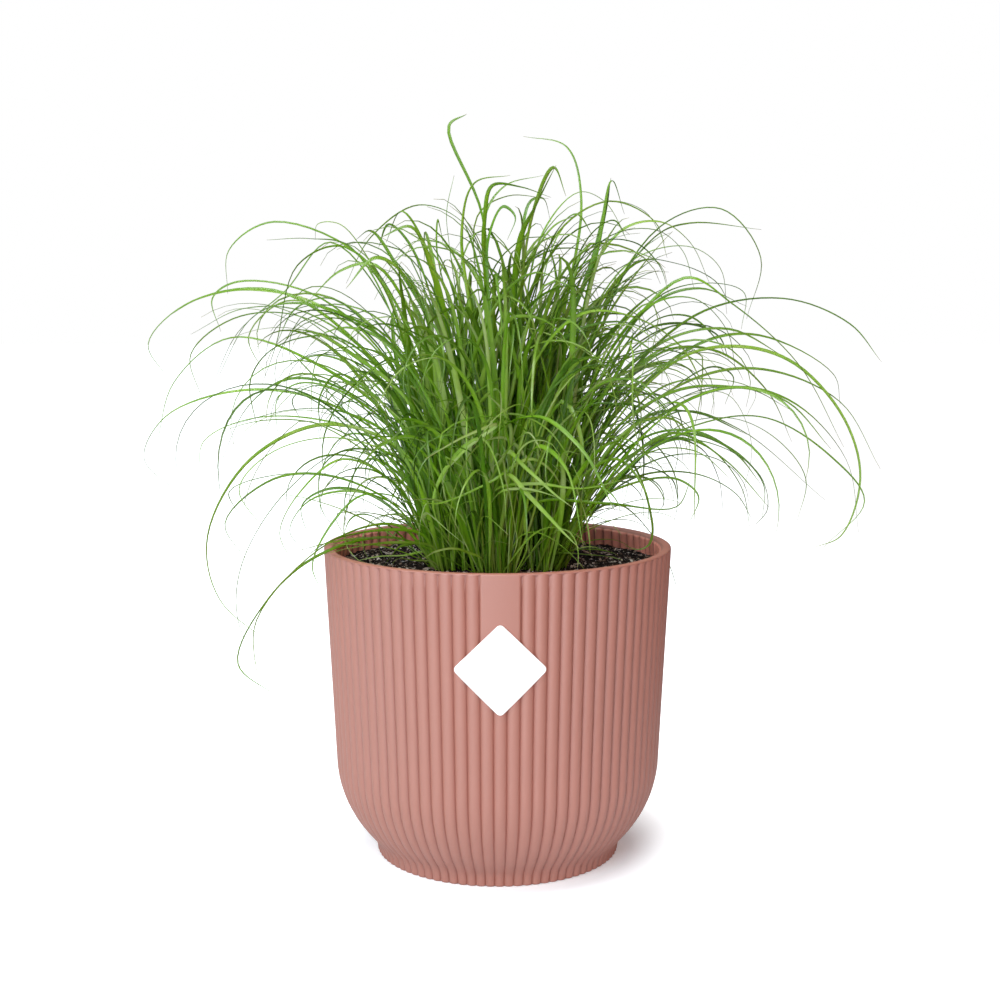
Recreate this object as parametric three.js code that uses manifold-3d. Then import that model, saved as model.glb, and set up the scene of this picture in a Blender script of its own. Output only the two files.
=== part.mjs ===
// A young umbrella sedge in a ribbed round pot.
// Millimetres, +Z up. The origin is the middle of the pot's underside, and the front of the pot faces -Y.
// The pot, the potting soil, a blank label and seven leafy shoots are separate solids.

import * as THREE from 'three';
import { mergeVertices } from 'three/addons/utils/BufferGeometryUtils.js';
import Module from 'manifold-3d';

// Pot
const POT_HEIGHT = 125;
const RIM_RADIUS = 69.9;
const WAIST_RADIUS = 65.9;
const WAIST_HEIGHT = 42;
const FOOT_RADIUS = 49.3;
const FOOT_TOP_RADIUS = 50.3;
const FOOT_HEIGHT = 5.5;
const BELLY_PULL = [66.3, 21];
const RIB_COUNT = 84;
const RIB_DEPTH = 0.9;
const POINTS_PER_RIB = 3;
const RIB_PITCH = (2 * Math.PI) / RIB_COUNT;
const BELLY_LEVELS = [14, 24];
const FRONT = -Math.PI / 2 + 0.1 * RIB_PITCH;
const PANEL_RIBS = 3;
const PANEL_EDGE = FRONT - (PANEL_RIBS / 2) * RIB_PITCH;
const PANEL_BOTTOM = 90;
const PANEL_LIFT = 0.05;
const PANEL_DEPTH = 1.35;
const PANEL_OVERLAP = 0.5;
const RIB_TOP = 122.8;
const LIP_ROUNDING = 0.5;
const WALL = 2.7;
const LIP_INNER_RADIUS = 66.1;
const INNER_RIB_DEPTH = 0.45;
const INNER_RIB_BOTTOM = 112;
const FLOOR_THICKNESS = 3.5;
const MOUTH_STEP = 0.75;
const INNER_SIDES = 56;
const OVERCUT = 1;

// Soil
const SOIL_TOP = 117.5;
const SOIL_GAP = 0.45;
const SOIL_SIDES = 36;
const SOIL_LUMP = 0.5;
const SOIL_WAVES = [7.3, 6.1, 4.2];
const SOIL_FLOOR_GAP = 0.3;
const SOIL_TOP_RINGS = [1, 0.82, 0.62];

// Label: a square with round corners, set on its corner and bent round the ribs' crests
const LABEL_ANGLE = 0.022;
const LABEL_HEIGHT = 89.7;
const LABEL_HALF_DIAGONAL = 17;
const LABEL_CORNER = 1.8;
const LABEL_GAP = 0.3;
const LABEL_THICKNESS = 0.6;
const LABEL_COLUMNS = 18;
const LABEL_END_HALF_HEIGHT = 0.2;

// Shoots: one in the middle and six round it, each with a low crown that the leaves grow from
const RING_SHOOTS = 6;
const SHOOT_SPACING = 21;
const CROWN_RADIUS = 9.8;
const CROWN_TOP = 120.5;
const CROWN_BOTTOM = 108;
const CROWN_SIDES = 18;
// [how far under the crown's top, share of its radius] of the rings that round its top
const CROWN_SHOULDER = [[1.6, 1], [0.3, 0.82], [0, 0.4]];
const HOLE_GAP = 0.35;

// Leaves
const ROOTS_PER_SHOOT = 36;
const ROOT_REACH = 8.4;
const ROOT_HEIGHT = 115.5;
const GOLDEN_ANGLE = Math.PI * (3 - Math.sqrt(5));
const ROOT_WIDTH = 1.2;
const LEAF_KEEL = 0.75;
const TIP_NARROWING = 0.35;
const ARCH_STEPS = 28;
const LEAF_SEGMENTS = 5;
const SEGMENT_POWER = 0.7;
const TRIES = 36;
const SEED = 20417;

// Ordinary leaves. Angles in degrees; edge goes from 0 in the tuft's middle to 1 at its rim, and what is
// multiplied by a random draw is called spread
const TUFT_RADIUS = 30;
const HEADING = { spread: 0.7, middleSpread: 4.6, middlePower: 1.2 };
const LEAN = { least: 1, edge: 16, spread: 26 };
const DROOP = { least: 70, spread: 95 };
const BEND_POWER = { middle: 4, edge: -2, spread: 1.4 };
const SWIRL_SPREAD = 2.2;
const LENGTH = { least: 146, spread: 74 };
const WIDTH = { least: 1.4, spread: 0.5 };

// Where leaves may pass
const CLEAR_OF_OTHERS = 1.95;
const CLEAR_OF_OWN = 1;
const CLEAR_OF_CROWN = 1.1;
const ABOVE_CROWN = 1.2;
const ABOVE_SOIL = 1.6;
const ABOVE_RIM = 2;
const MOUTH_RADIUS = 66;
const RIM_ZONE = [62, 73.5];
const BUSH_TOP = 263;
const BUSH_FALL = 0.0036;
const BUSH_REACH = 152;
const OPEN_SOIL = { radius: 46, height: 131 };
const PAST_RIM = { radius: 66, height: 126 };
const POT_FRONT = { halfWidth: 70, radius: 40, height: 127 };

// The hand-placed leaves were read from the front, by an eye this far from the pot's axis and this high
const EYE_DISTANCE = 632;
const EYE_HEIGHT = 227.5;

// A placed leaf grows from the first of the nearest free roots where it fits
const ROOT_CHOICES = 40;
const ROOT_LIMIT = 27;
const ROOT_ACROSS_SHARE = 0.62;
const ROOT_DEPTH_SHARE = 0.5;

// [how far back the tip lies, width, [[sideways, height], ...] along the leaf after its root]
const PLACED_LEAVES = [
  // Left side, from high to low
  [12, 1.5, [[-27, 180], [-50, 237], [-88, 254], [-106, 243], [-107, 226]]],
  [-14, 1.9, [[-34, 195], [-58, 244], [-74, 247.5], [-91, 247]]],
  [34, 1.8, [[-36, 205], [-66, 246], [-84, 227], [-103, 211], [-113, 192]]],
  [-30, 1.7, [[-30, 200], [-60, 244], [-79, 237], [-88, 206], [-94, 190]]],
  [-4, 1.8, [[-37, 188], [-70, 224], [-103, 230.5], [-113, 224], [-110, 211]]],
  [24, 1.6, [[-40, 186], [-84, 226], [-121, 223], [-139, 206], [-132, 193]]],
  [48, 1.8, [[-42, 190], [-75, 218], [-101, 220], [-122, 210]]],
  [-38, 1.5, [[-36, 176], [-73, 215], [-102, 217], [-122, 202], [-118, 184]]],
  [8, 1.8, [[-40, 172], [-72, 198], [-106, 208.5], [-129, 191], [-137, 165]]],
  [20, 1.7, [[-42, 164], [-72, 184], [-103, 187.5], [-133, 177], [-142, 160], [-128, 146]]],
  [-44, 1.9, [[-36, 161], [-68, 174], [-99, 160], [-117, 129], [-113, 103], [-88, 81]]],
  [-22, 1.9, [[-36, 150], [-60, 163.5], [-85, 147], [-103, 119], [-106, 96], [-97, 72]]],
  [40, 1.7, [[-44, 144], [-76, 154.5], [-108, 147], [-104, 137]]],
  [-40, 1.9, [[-42, 128], [-72, 121], [-93, 103], [-106, 76], [-90, 62]]],
  [-56, 1.8, [[-40, 133], [-68, 126], [-98, 94], [-98, 67]]],
  // Top
  [6, 1.8, [[-4, 200], [-6, 256], [-19, 291], [-12, 295.5]]],
  [-24, 1.6, [[-9, 205], [-14, 250], [-9, 269], [5, 272]]],
  [18, 1.9, [[-20, 200], [-29, 245], [-38, 258], [-44, 246]]],
  [34, 1.6, [[-2, 210], [-12, 252], [-31, 260.5], [-50, 248], [-60, 230]]],
  [-12, 1.9, [[8, 205], [14, 257], [22, 275], [27, 264]]],
  [10, 1.9, [[28, 190], [40, 245], [45, 270], [50, 257]]],
  [40, 1.5, [[24, 205], [33, 262], [27, 283], [10, 287]]],
  [-16, 1.8, [[36, 202], [64, 252], [88, 259], [104, 240], [99, 216]]],
  [28, 1.7, [[34, 205], [62, 248], [76, 253.5], [104, 251]]],
  // Right side, from high to low
  [10, 1.9, [[42, 178], [78, 217], [113, 224], [140, 214], [153, 199]]],
  [-30, 1.8, [[40, 190], [74, 232], [93, 222], [120, 198], [139, 165]]],
  [46, 1.7, [[44, 174], [80, 206], [104, 209.5], [134, 194], [137, 182]]],
  [-8, 1.9, [[44, 166], [78, 192], [106, 196], [137, 183], [154, 156]]],
  [26, 1.9, [[48, 163], [88, 188], [116, 184], [140, 160], [146, 130]]],
  [-40, 1.9, [[44, 154], [84, 175], [108, 176.5], [134, 161], [148, 143], [132, 124]]],
  [8, 1.9, [[48, 158], [72, 179], [97, 172], [132, 143.5]]],
  [-20, 1.9, [[44, 150], [70, 170.5], [91, 160], [110, 140]]],
  [-48, 1.9, [[14, 141], [42, 142], [72, 140.5], [78, 152]]],
  [36, 1.7, [[42, 150], [60, 152], [67, 143], [62, 135]]],
  [62, 1.7, [[46, 142], [66, 124], [76, 97]]],
  // Front
  [-92, 1.9, [[-2, 168], [16, 177], [34, 164], [48, 138]]],
  [-80, 1.9, [[-16, 160], [-36, 176], [-54, 163], [-62, 132]]],
  [-96, 1.9, [[8, 146], [16, 165], [28, 156], [35, 124]]],
  [-70, 1.8, [[-20, 146], [-34, 166], [-52, 168], [-74, 150]]],
  [-60, 1.8, [[22, 160], [42, 188], [62, 186], [80, 162]]],
];

const COLOURS = {
  pot: { color: 0xc98d84, roughness: 0.62, metalness: 0 },
  soil: { color: 0x241c17, roughness: 0.95, metalness: 0 },
  label: { color: 0xf4f4f2, roughness: 0.5, metalness: 0 },
  leaf: { color: 0x5a9a20, roughness: 0.5, metalness: 0 },
};

const wasm = await Module();
wasm.setup();

// Solids

const WELD_DISTANCE = 1e-5;

function toManifold(geometry) {
  const merged = mergeVertices(geometry, WELD_DISTANCE);
  return new wasm.Manifold(new wasm.Mesh({
    numProp: 3,
    vertProperties: Float32Array.from(merged.attributes.position.array),
    triVerts: Uint32Array.from(merged.index.array),
  }));
}

function toGeometry(solid) {
  const mesh = solid.getMesh();
  const geometry = new THREE.BufferGeometry();
  geometry.setAttribute('position', new THREE.BufferAttribute(Float32Array.from(mesh.vertProperties), 3));
  geometry.setIndex(new THREE.BufferAttribute(Uint32Array.from(mesh.triVerts), 1));
  return geometry;
}

function solidFrom(points, triangles) {
  const geometry = new THREE.BufferGeometry();
  geometry.setAttribute('position', new THREE.Float32BufferAttribute(points.flat(), 3));
  geometry.setIndex(triangles.flat());
  return toManifold(geometry);
}

// A solid through level rings of points, each ring counter-clockwise from above, from the lowest up
function stackRings(rings) {
  const sides = rings[0].length;
  const points = rings.flat();
  const triangles = [];
  for (let level = 0; level + 1 < rings.length; level += 1) {
    for (let side = 0; side < sides; side += 1) {
      const low = level * sides + side;
      const lowNext = level * sides + ((side + 1) % sides);
      triangles.push([low, lowNext, lowNext + sides], [low, lowNext + sides, low + sides]);
    }
  }
  const middle = (ring) => [0, 1, 2].map((axis) => ring.reduce((sum, p) => sum + p[axis], 0) / sides);
  const bottomMiddle = points.push(middle(rings[0])) - 1;
  const topMiddle = points.push(middle(rings[rings.length - 1])) - 1;
  const topStart = (rings.length - 1) * sides;
  for (let side = 0; side < sides; side += 1) {
    const next = (side + 1) % sides;
    triangles.push([bottomMiddle, next, side], [topMiddle, topStart + side, topStart + next]);
  }
  return solidFrom(points, triangles);
}

function ring(sides, z, radiusAt, start = FRONT) {
  const points = [];
  for (let side = 0; side < sides; side += 1) {
    const angle = start + (side / sides) * 2 * Math.PI;
    const radius = radiusAt(side);
    points.push([radius * Math.cos(angle), radius * Math.sin(angle), z]);
  }
  return points;
}

// Pot

const HALVINGS = 30;

// The crest radius at a height: a straight taper over a rounded belly, down to a short foot
function crestRadius(z) {
  if (z >= WAIST_HEIGHT) {
    return WAIST_RADIUS + ((RIM_RADIUS - WAIST_RADIUS) * (z - WAIST_HEIGHT)) / (POT_HEIGHT - WAIST_HEIGHT);
  }
  if (z <= FOOT_HEIGHT) {
    return FOOT_RADIUS + ((FOOT_TOP_RADIUS - FOOT_RADIUS) * z) / FOOT_HEIGHT;
  }
  const belly = new THREE.QuadraticBezierCurve(
    new THREE.Vector2(WAIST_RADIUS, WAIST_HEIGHT),
    new THREE.Vector2(...BELLY_PULL),
    new THREE.Vector2(FOOT_TOP_RADIUS, FOOT_HEIGHT),
  );
  let low = 0;
  let high = 1;
  for (let halving = 0; halving < HALVINGS; halving += 1) {
    const half = (low + high) / 2;
    if (belly.getPoint(half).y > z) low = half;
    else high = half;
  }
  return belly.getPoint(low).x;
}

// The plain inside below the ribbed mouth
function cavityRadius(z) {
  return crestRadius(z) - WALL - MOUTH_STEP;
}

// Ribs are flat-topped, with a groove between each two: every third point of a ring is the floor of a groove
function ribbedRing(z) {
  return ring(RIB_COUNT * POINTS_PER_RIB, z, (side) => (
    side % POINTS_PER_RIB === 0 ? crestRadius(z) - RIB_DEPTH : crestRadius(z)
  ), PANEL_EDGE);
}

// A plain strip at the front, level with the ribs, that fills their grooves from the rim to behind the label
function buildPanel() {
  const columns = PANEL_RIBS * POINTS_PER_RIB - 2;
  const strip = (z) => {
    const points = [];
    for (let column = 0; column <= columns; column += 1) {
      const angle = PANEL_EDGE + ((column + 1) / POINTS_PER_RIB) * RIB_PITCH;
      const radius = crestRadius(z) + PANEL_LIFT;
      points.push([radius * Math.cos(angle), radius * Math.sin(angle), z]);
    }
    const back = crestRadius(z) - PANEL_DEPTH;
    const backEdge = (angle) => [back * Math.cos(angle), back * Math.sin(angle), z];
    const firstAngle = PANEL_EDGE + RIB_PITCH / POINTS_PER_RIB;
    const lastAngle = PANEL_EDGE + ((columns + 1) / POINTS_PER_RIB) * RIB_PITCH;
    return [...points, backEdge(lastAngle), backEdge(firstAngle)];
  };
  return stackRings([strip(PANEL_BOTTOM), strip(RIB_TOP + PANEL_OVERLAP)]);
}

function buildPot() {
  const ribbedLevels = [0, FOOT_HEIGHT, ...BELLY_LEVELS, WAIST_HEIGHT, RIB_TOP];
  const outer = stackRings([
    ...ribbedLevels.map(ribbedRing),
    ring(RIB_COUNT * POINTS_PER_RIB, POT_HEIGHT, () => RIM_RADIUS - LIP_ROUNDING, PANEL_EDGE),
  ]);
  const innerRing = (z) => ring(INNER_SIDES, z, () => cavityRadius(z));
  const insideLevels = [FLOOR_THICKNESS, ...BELLY_LEVELS, WAIST_HEIGHT, INNER_RIB_BOTTOM];
  const cavity = stackRings(insideLevels.map(innerRing));
  return outer.add(buildPanel()).subtract(cavity).subtract(ribbedMouth());
}

// The opening above the soil, whose wall is ribbed too up to the plain lip
function ribbedMouth() {
  const mouthRing = (z, radius, depth) => ring(RIB_COUNT * 2, z, (side) => (
    side % 2 === 0 ? radius + depth : radius
  ));
  const wall = crestRadius(INNER_RIB_BOTTOM) - WALL - INNER_RIB_DEPTH;
  return stackRings([
    mouthRing(INNER_RIB_BOTTOM - OVERCUT, wall, INNER_RIB_DEPTH),
    mouthRing(RIB_TOP, LIP_INNER_RADIUS - INNER_RIB_DEPTH, INNER_RIB_DEPTH),
    mouthRing(POT_HEIGHT + OVERCUT, LIP_INNER_RADIUS + LIP_ROUNDING, 0),
  ]);
}

// Soil

// A gently lumpy top: one wave across, one from front to back and a smaller one between them
function soilHeight(x, y) {
  const [across, depth, slant] = SOIL_WAVES;
  const lumps = Math.sin(x / across + 1.1) * Math.cos(y / depth) + 0.5 * Math.sin((x + y) / slant);
  return SOIL_TOP + SOIL_LUMP * lumps;
}

function buildSoil() {
  const side = (z) => ring(SOIL_SIDES, z, () => cavityRadius(z) - SOIL_GAP);
  const topRadius = cavityRadius(SOIL_TOP) - SOIL_GAP;
  const topRing = (share) => ring(SOIL_SIDES, 0, () => topRadius * share).map(([x, y]) => (
    [x, y, soilHeight(x, y)]
  ));
  const sideLevels = [FLOOR_THICKNESS + SOIL_FLOOR_GAP, ...BELLY_LEVELS, WAIST_HEIGHT];
  const soil = stackRings([...sideLevels.map(side), ...SOIL_TOP_RINGS.map(topRing)]);
  const holes = shootCentres().map(([x, y]) => stackRings([
    crownRing(x, y, CROWN_BOTTOM - HOLE_GAP, CROWN_RADIUS + HOLE_GAP),
    crownRing(x, y, CROWN_TOP, CROWN_RADIUS + HOLE_GAP),
  ]));
  return soil.subtract(wasm.Manifold.union(holes));
}

// Label

function labelHalfHeight(across) {
  const sharp = LABEL_HALF_DIAGONAL + LABEL_CORNER * (Math.SQRT2 - 1);
  const arcCentre = sharp - LABEL_CORNER * Math.SQRT2;
  const arcEnd = LABEL_CORNER / Math.SQRT2;
  const u = Math.abs(across);
  if (u < arcEnd) return arcCentre + Math.sqrt(LABEL_CORNER ** 2 - u ** 2);
  if (u < arcCentre + arcEnd) return sharp - u;
  return Math.sqrt(Math.max(0, LABEL_CORNER ** 2 - (u - arcCentre) ** 2));
}

// In its own frame: the label's middle lies at height 0 and faces -Y
function buildLabel() {
  const points = [];
  const triangles = [];
  const middleRadius = crestRadius(LABEL_HEIGHT);
  const place = (across, up, lift) => {
    const angle = -Math.PI / 2 + across / middleRadius;
    const radius = crestRadius(LABEL_HEIGHT + up) + LABEL_GAP + lift;
    return [radius * Math.cos(angle), radius * Math.sin(angle), up];
  };
  for (let column = 0; column <= LABEL_COLUMNS; column += 1) {
    const across = -LABEL_HALF_DIAGONAL * Math.cos((column / LABEL_COLUMNS) * Math.PI);
    const half = Math.max(labelHalfHeight(across), LABEL_END_HALF_HEIGHT);
    points.push(place(across, -half, 0), place(across, half, 0));
    points.push(place(across, -half, LABEL_THICKNESS), place(across, half, LABEL_THICKNESS));
  }
  for (let column = 0; column < LABEL_COLUMNS; column += 1) {
    const [backLow, backHigh, faceLow, faceHigh] = [0, 1, 2, 3].map((corner) => 4 * column + corner);
    const quads = [
      [faceLow, faceLow + 4, faceHigh + 4, faceHigh],
      [backLow, backHigh, backHigh + 4, backLow + 4],
      [backLow, backLow + 4, faceLow + 4, faceLow],
      [backHigh, faceHigh, faceHigh + 4, backHigh + 4],
    ];
    quads.forEach(([a, b, c, d]) => triangles.push([a, b, c], [a, c, d]));
  }
  const last = 4 * LABEL_COLUMNS;
  triangles.push([0, 2, 3], [0, 3, 1], [last, last + 3, last + 2], [last, last + 1, last + 3]);
  return solidFrom(points, triangles);
}

// Shoots

function shootCentres() {
  const centres = [[0, 0]];
  for (let shoot = 0; shoot < RING_SHOOTS; shoot += 1) {
    const angle = -Math.PI / 2 + (shoot / RING_SHOOTS) * 2 * Math.PI;
    centres.push([SHOOT_SPACING * Math.cos(angle), SHOOT_SPACING * Math.sin(angle)]);
  }
  return centres;
}

function crownRing(x, y, z, radius) {
  return ring(CROWN_SIDES, z, () => radius).map((point) => [point[0] + x, point[1] + y, z]);
}

// The low round stump of a shoot, most of it under the soil
function buildCrown(x, y) {
  const shoulder = CROWN_SHOULDER.map(([drop, share]) => (
    crownRing(x, y, CROWN_TOP - drop, CROWN_RADIUS * share)
  ));
  return stackRings([crownRing(x, y, CROWN_BOTTOM, CROWN_RADIUS), ...shoulder]);
}

function randomSource(seed) {
  let state = seed;
  return () => {
    state = (state * 1664525 + 1013904223) % 4294967296;
    return state / 4294967296;
  };
}

// Roots lie in a sunflower spiral on each crown
function rootPlaces() {
  const roots = [];
  shootCentres().forEach(([x, y], shoot) => {
    for (let index = 0; index < ROOTS_PER_SHOOT; index += 1) {
      const radius = ROOT_REACH * Math.sqrt((index + 0.5) / ROOTS_PER_SHOOT);
      const angle = index * GOLDEN_ANGLE + shoot;
      roots.push({ x: x + radius * Math.cos(angle), y: y + radius * Math.sin(angle), shoot });
    }
  });
  return roots;
}

// Moves a point read from the front along the line of sight to its true depth
function alongSight(x, y, z) {
  const spread = 1 + y / EYE_DISTANCE;
  return new THREE.Vector3(x * spread, y, EYE_HEIGHT + (z - EYE_HEIGHT) * spread);
}

function placedCurve(depth, path, root) {
  const points = [new THREE.Vector3(root.x, root.y, ROOT_HEIGHT)];
  path.forEach(([x, z], index) => {
    const y = root.y + ((depth - root.y) * (index + 1)) / path.length;
    points.push(alongSight(x, y, z));
  });
  return new THREE.CatmullRomCurve3(points, false, 'centripetal');
}

// The spine of a leaf that stands at the lean and bends over, ever faster, to the droop
function archSpine(root, azimuth, lean, droop, power, swirl, length) {
  const spine = [new THREE.Vector3(root.x, root.y, ROOT_HEIGHT)];
  const step = length / ARCH_STEPS;
  for (let index = 0; index < ARCH_STEPS; index += 1) {
    const s = (index + 0.5) / ARCH_STEPS;
    const tilt = lean + (droop - lean) * s ** power;
    const turn = azimuth + swirl * s * s;
    const before = spine[index];
    spine.push(new THREE.Vector3(
      before.x + step * Math.sin(tilt) * Math.cos(turn),
      before.y + step * Math.sin(tilt) * Math.sin(turn),
      before.z + step * Math.cos(tilt),
    ));
  }
  return spine;
}

function coarseSpine(spine) {
  const coarse = [];
  for (let index = 0; index <= LEAF_SEGMENTS; index += 1) {
    coarse.push(spine[Math.floor(ARCH_STEPS * (index / LEAF_SEGMENTS) ** SEGMENT_POWER + 0.5)]);
  }
  return coarse;
}

const NEARLY_PARALLEL = 1e-9;

// Shortest distance between two segments
function segmentGap(a0, a1, b0, b1) {
  const d1 = new THREE.Vector3().subVectors(a1, a0);
  const d2 = new THREE.Vector3().subVectors(b1, b0);
  const between = new THREE.Vector3().subVectors(a0, b0);
  const a = d1.dot(d1);
  const e = d2.dot(d2);
  const f = d2.dot(between);
  const c = between.dot(d1);
  const b = d1.dot(d2);
  const denominator = a * e - b * b;
  const clamp = (value) => Math.min(1, Math.max(0, value));
  let s = denominator > NEARLY_PARALLEL ? clamp((b * f - c * e) / denominator) : 0;
  let t = (b * s + f) / e;
  if (t < 0) s = clamp(-c / a);
  else if (t > 1) s = clamp((b - c) / a);
  t = clamp(t);
  return between.addScaledVector(d1, s).addScaledVector(d2, -t).length();
}

// True where a new leaf's segments keep their distance from every leaf that already stands
function isClearOfLeaves(spine, shoot, standing) {
  for (let index = 0; index + 1 < spine.length; index += 1) {
    for (const other of standing) {
      const needed = other.shoot === shoot ? CLEAR_OF_OWN : CLEAR_OF_OTHERS;
      if (segmentGap(spine[index], spine[index + 1], other.from, other.to) < needed) return false;
    }
  }
  return true;
}

function isClearOfBase(spine, shoot) {
  const centres = shootCentres();
  return spine.slice(1).every(({ x, y, z }) => {
    const radius = Math.hypot(x, y);
    const inCrown = (index, margin) => (
      Math.hypot(x - centres[index][0], y - centres[index][1]) < CROWN_RADIUS + margin
    );
    const overOther = centres.some((_, index) => index !== shoot && inCrown(index, CLEAR_OF_CROWN));
    const hitsCrown = overOther && z < CROWN_TOP + ABOVE_CROWN;
    const hitsSoil = !inCrown(shoot, 0) && radius < MOUTH_RADIUS && z < SOIL_TOP + ABOVE_SOIL;
    const hitsRim = radius > RIM_ZONE[0] && radius < RIM_ZONE[1] && z < POT_HEIGHT + ABOVE_RIM;
    return !hitsCrown && !hitsSoil && !hitsRim;
  });
}

// True for a leaf inside the bush's dome that leaves the pot's front free
function isInBush(spine) {
  return spine.slice(1).every(({ x, y, z }) => {
    const radius = Math.hypot(x, y);
    if (z > BUSH_TOP - BUSH_FALL * radius * radius || radius > BUSH_REACH) return false;
    if (radius > OPEN_SOIL.radius && z < OPEN_SOIL.height) return false;
    if (radius > PAST_RIM.radius && z < PAST_RIM.height) return false;
    const spread = 1 + y / EYE_DISTANCE;
    const isBeforePot = y < 0 && Math.abs(x / spread) < POT_FRONT.halfWidth && radius > POT_FRONT.radius;
    return !(isBeforePot && EYE_HEIGHT + (z - EYE_HEIGHT) / spread < POT_FRONT.height);
  });
}

function growLeaves() {
  const draw = randomSource(SEED);
  const free = rootPlaces();
  const standing = [];
  const leaves = [];
  const settle = (spine, width, shoot) => {
    for (let index = 0; index + 1 < spine.length; index += 1) {
      standing.push({ from: spine[index], to: spine[index + 1], shoot });
    }
    leaves.push({ spine, width, shoot });
  };

  for (const [depth, width, path] of PLACED_LEAVES) {
    const limit = (value) => Math.max(-ROOT_LIMIT, Math.min(ROOT_LIMIT, value));
    const wantedX = limit(path[0][0] * ROOT_ACROSS_SHARE);
    const wantedY = limit(depth * ROOT_DEPTH_SHARE);
    const away = (root) => (root.x - wantedX) ** 2 + (root.y - wantedY) ** 2;
    const nearest = [...free].sort((a, b) => away(a) - away(b)).slice(0, ROOT_CHOICES);
    const fits = (root) => {
      const curve = placedCurve(depth, path, root);
      return isClearOfLeaves(curve.getPoints(path.length * 2), root.shoot, standing)
        && isClearOfBase(curve.getPoints(path.length * 8), root.shoot);
    };
    const root = nearest.find(fits);
    free.splice(free.indexOf(root), 1);
    settle(placedCurve(depth, path, root).getPoints(path.length * 2), width, root.shoot);
  }

  for (const root of free) {
    const outward = Math.atan2(root.y, root.x);
    const edge = Math.min(1, Math.hypot(root.x, root.y) / TUFT_RADIUS);
    const headingSpread = HEADING.spread + HEADING.middleSpread * (1 - edge) ** HEADING.middlePower;
    for (let attempt = 0; attempt < TRIES; attempt += 1) {
      const azimuth = outward + (draw() - 0.5) * headingSpread;
      const lean = THREE.MathUtils.degToRad(LEAN.least + LEAN.edge * edge + LEAN.spread * draw() ** 2);
      const droop = THREE.MathUtils.degToRad(DROOP.least + DROOP.spread * draw());
      const power = BEND_POWER.middle + BEND_POWER.edge * edge + BEND_POWER.spread * draw();
      const swirl = (draw() - 0.5) * SWIRL_SPREAD;
      const length = LENGTH.least + LENGTH.spread * draw();
      const width = WIDTH.least + WIDTH.spread * draw();
      const spine = archSpine(root, azimuth, lean, droop, power, swirl, length);
      if (!isInBush(spine) || !isClearOfBase(spine, root.shoot)) continue;
      const coarse = coarseSpine(spine);
      if (!isClearOfLeaves(coarse, root.shoot, standing)) continue;
      settle(coarse, width, root.shoot);
      break;
    }
  }
  return leaves;
}

// A three-sided blade with its keel below, tapered to a point
function leafSolid({ spine, width }) {
  const points = [];
  const triangles = [];
  const last = spine.length - 1;
  const end = spine[last];
  const side = new THREE.Vector3(spine[0].y - end.y, end.x - spine[0].x, 0).normalize();
  const tangent = new THREE.Vector3();
  const normal = new THREE.Vector3();
  for (let index = 0; index < last; index += 1) {
    const before = spine[Math.max(0, index - 1)];
    tangent.subVectors(spine[index + 1], before).normalize();
    side.addScaledVector(tangent, -side.dot(tangent)).normalize();
    normal.crossVectors(tangent, side);
    const tapered = width * (1 - TIP_NARROWING * (index / last) ** 2);
    const half = 0.5 * (index === 0 ? ROOT_WIDTH : Math.max(ROOT_WIDTH, tapered));
    const edgeA = spine[index].clone().addScaledVector(side, half);
    const edgeB = spine[index].clone().addScaledVector(side, -half);
    const keel = spine[index].clone().addScaledVector(normal, -LEAF_KEEL);
    points.push(edgeA.toArray(), edgeB.toArray(), keel.toArray());
  }
  points.push(end.toArray());
  for (let index = 0; index + 1 < last; index += 1) {
    for (let corner = 0; corner < 3; corner += 1) {
      const low = 3 * index + corner;
      const lowNext = 3 * index + ((corner + 1) % 3);
      triangles.push([low, lowNext, lowNext + 3], [low, lowNext + 3, low + 3]);
    }
  }
  const tip = points.length - 1;
  const top = 3 * (last - 1);
  triangles.push([top, top + 1, tip], [top + 1, top + 2, tip], [top + 2, top, tip], [0, 2, 1]);
  return solidFrom(points, triangles);
}

// A crown with its leaves, in the frame of the whole tuft
function buildShoot(x, y, leaves) {
  return wasm.Manifold.union([buildCrown(x, y), ...leaves.map(leafSolid)]);
}

// Scene

function newMesh(name, geometry, colour) {
  const mesh = new THREE.Mesh(geometry, new THREE.MeshStandardMaterial(colour));
  mesh.name = name;
  return mesh;
}

// Each shoot is a mesh in a frame of its own, whose origin is under the middle of its crown
function buildTuft() {
  const tuft = new THREE.Group();
  const leaves = growLeaves();
  shootCentres().forEach(([x, y], shoot) => {
    const own = leaves.filter((leaf) => leaf.shoot === shoot);
    const geometry = toGeometry(buildShoot(x, y, own)).translate(-x, -y, 0);
    const mesh = newMesh(`sedge_shoot_${shoot + 1}`, geometry, COLOURS.leaf);
    mesh.position.set(x, y, 0);
    tuft.add(mesh);
  });
  return tuft;
}

const label = newMesh('label', toGeometry(buildLabel()), COLOURS.label);
label.position.z = LABEL_HEIGHT;
label.rotation.z = LABEL_ANGLE;

const pottedSedge = new THREE.Group();
pottedSedge.add(newMesh('pot', toGeometry(buildPot()), COLOURS.pot));
pottedSedge.add(newMesh('soil', toGeometry(buildSoil()), COLOURS.soil));
pottedSedge.add(label, buildTuft());

export default pottedSedge;
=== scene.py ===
# The looks of a young umbrella sedge in a ribbed round pot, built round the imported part.
# Sizes are in millimetres, in the part's own frame, and MM turns them to metres. Colours are linear.

import math

import bpy
import numpy as np
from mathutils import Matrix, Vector, noise


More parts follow.
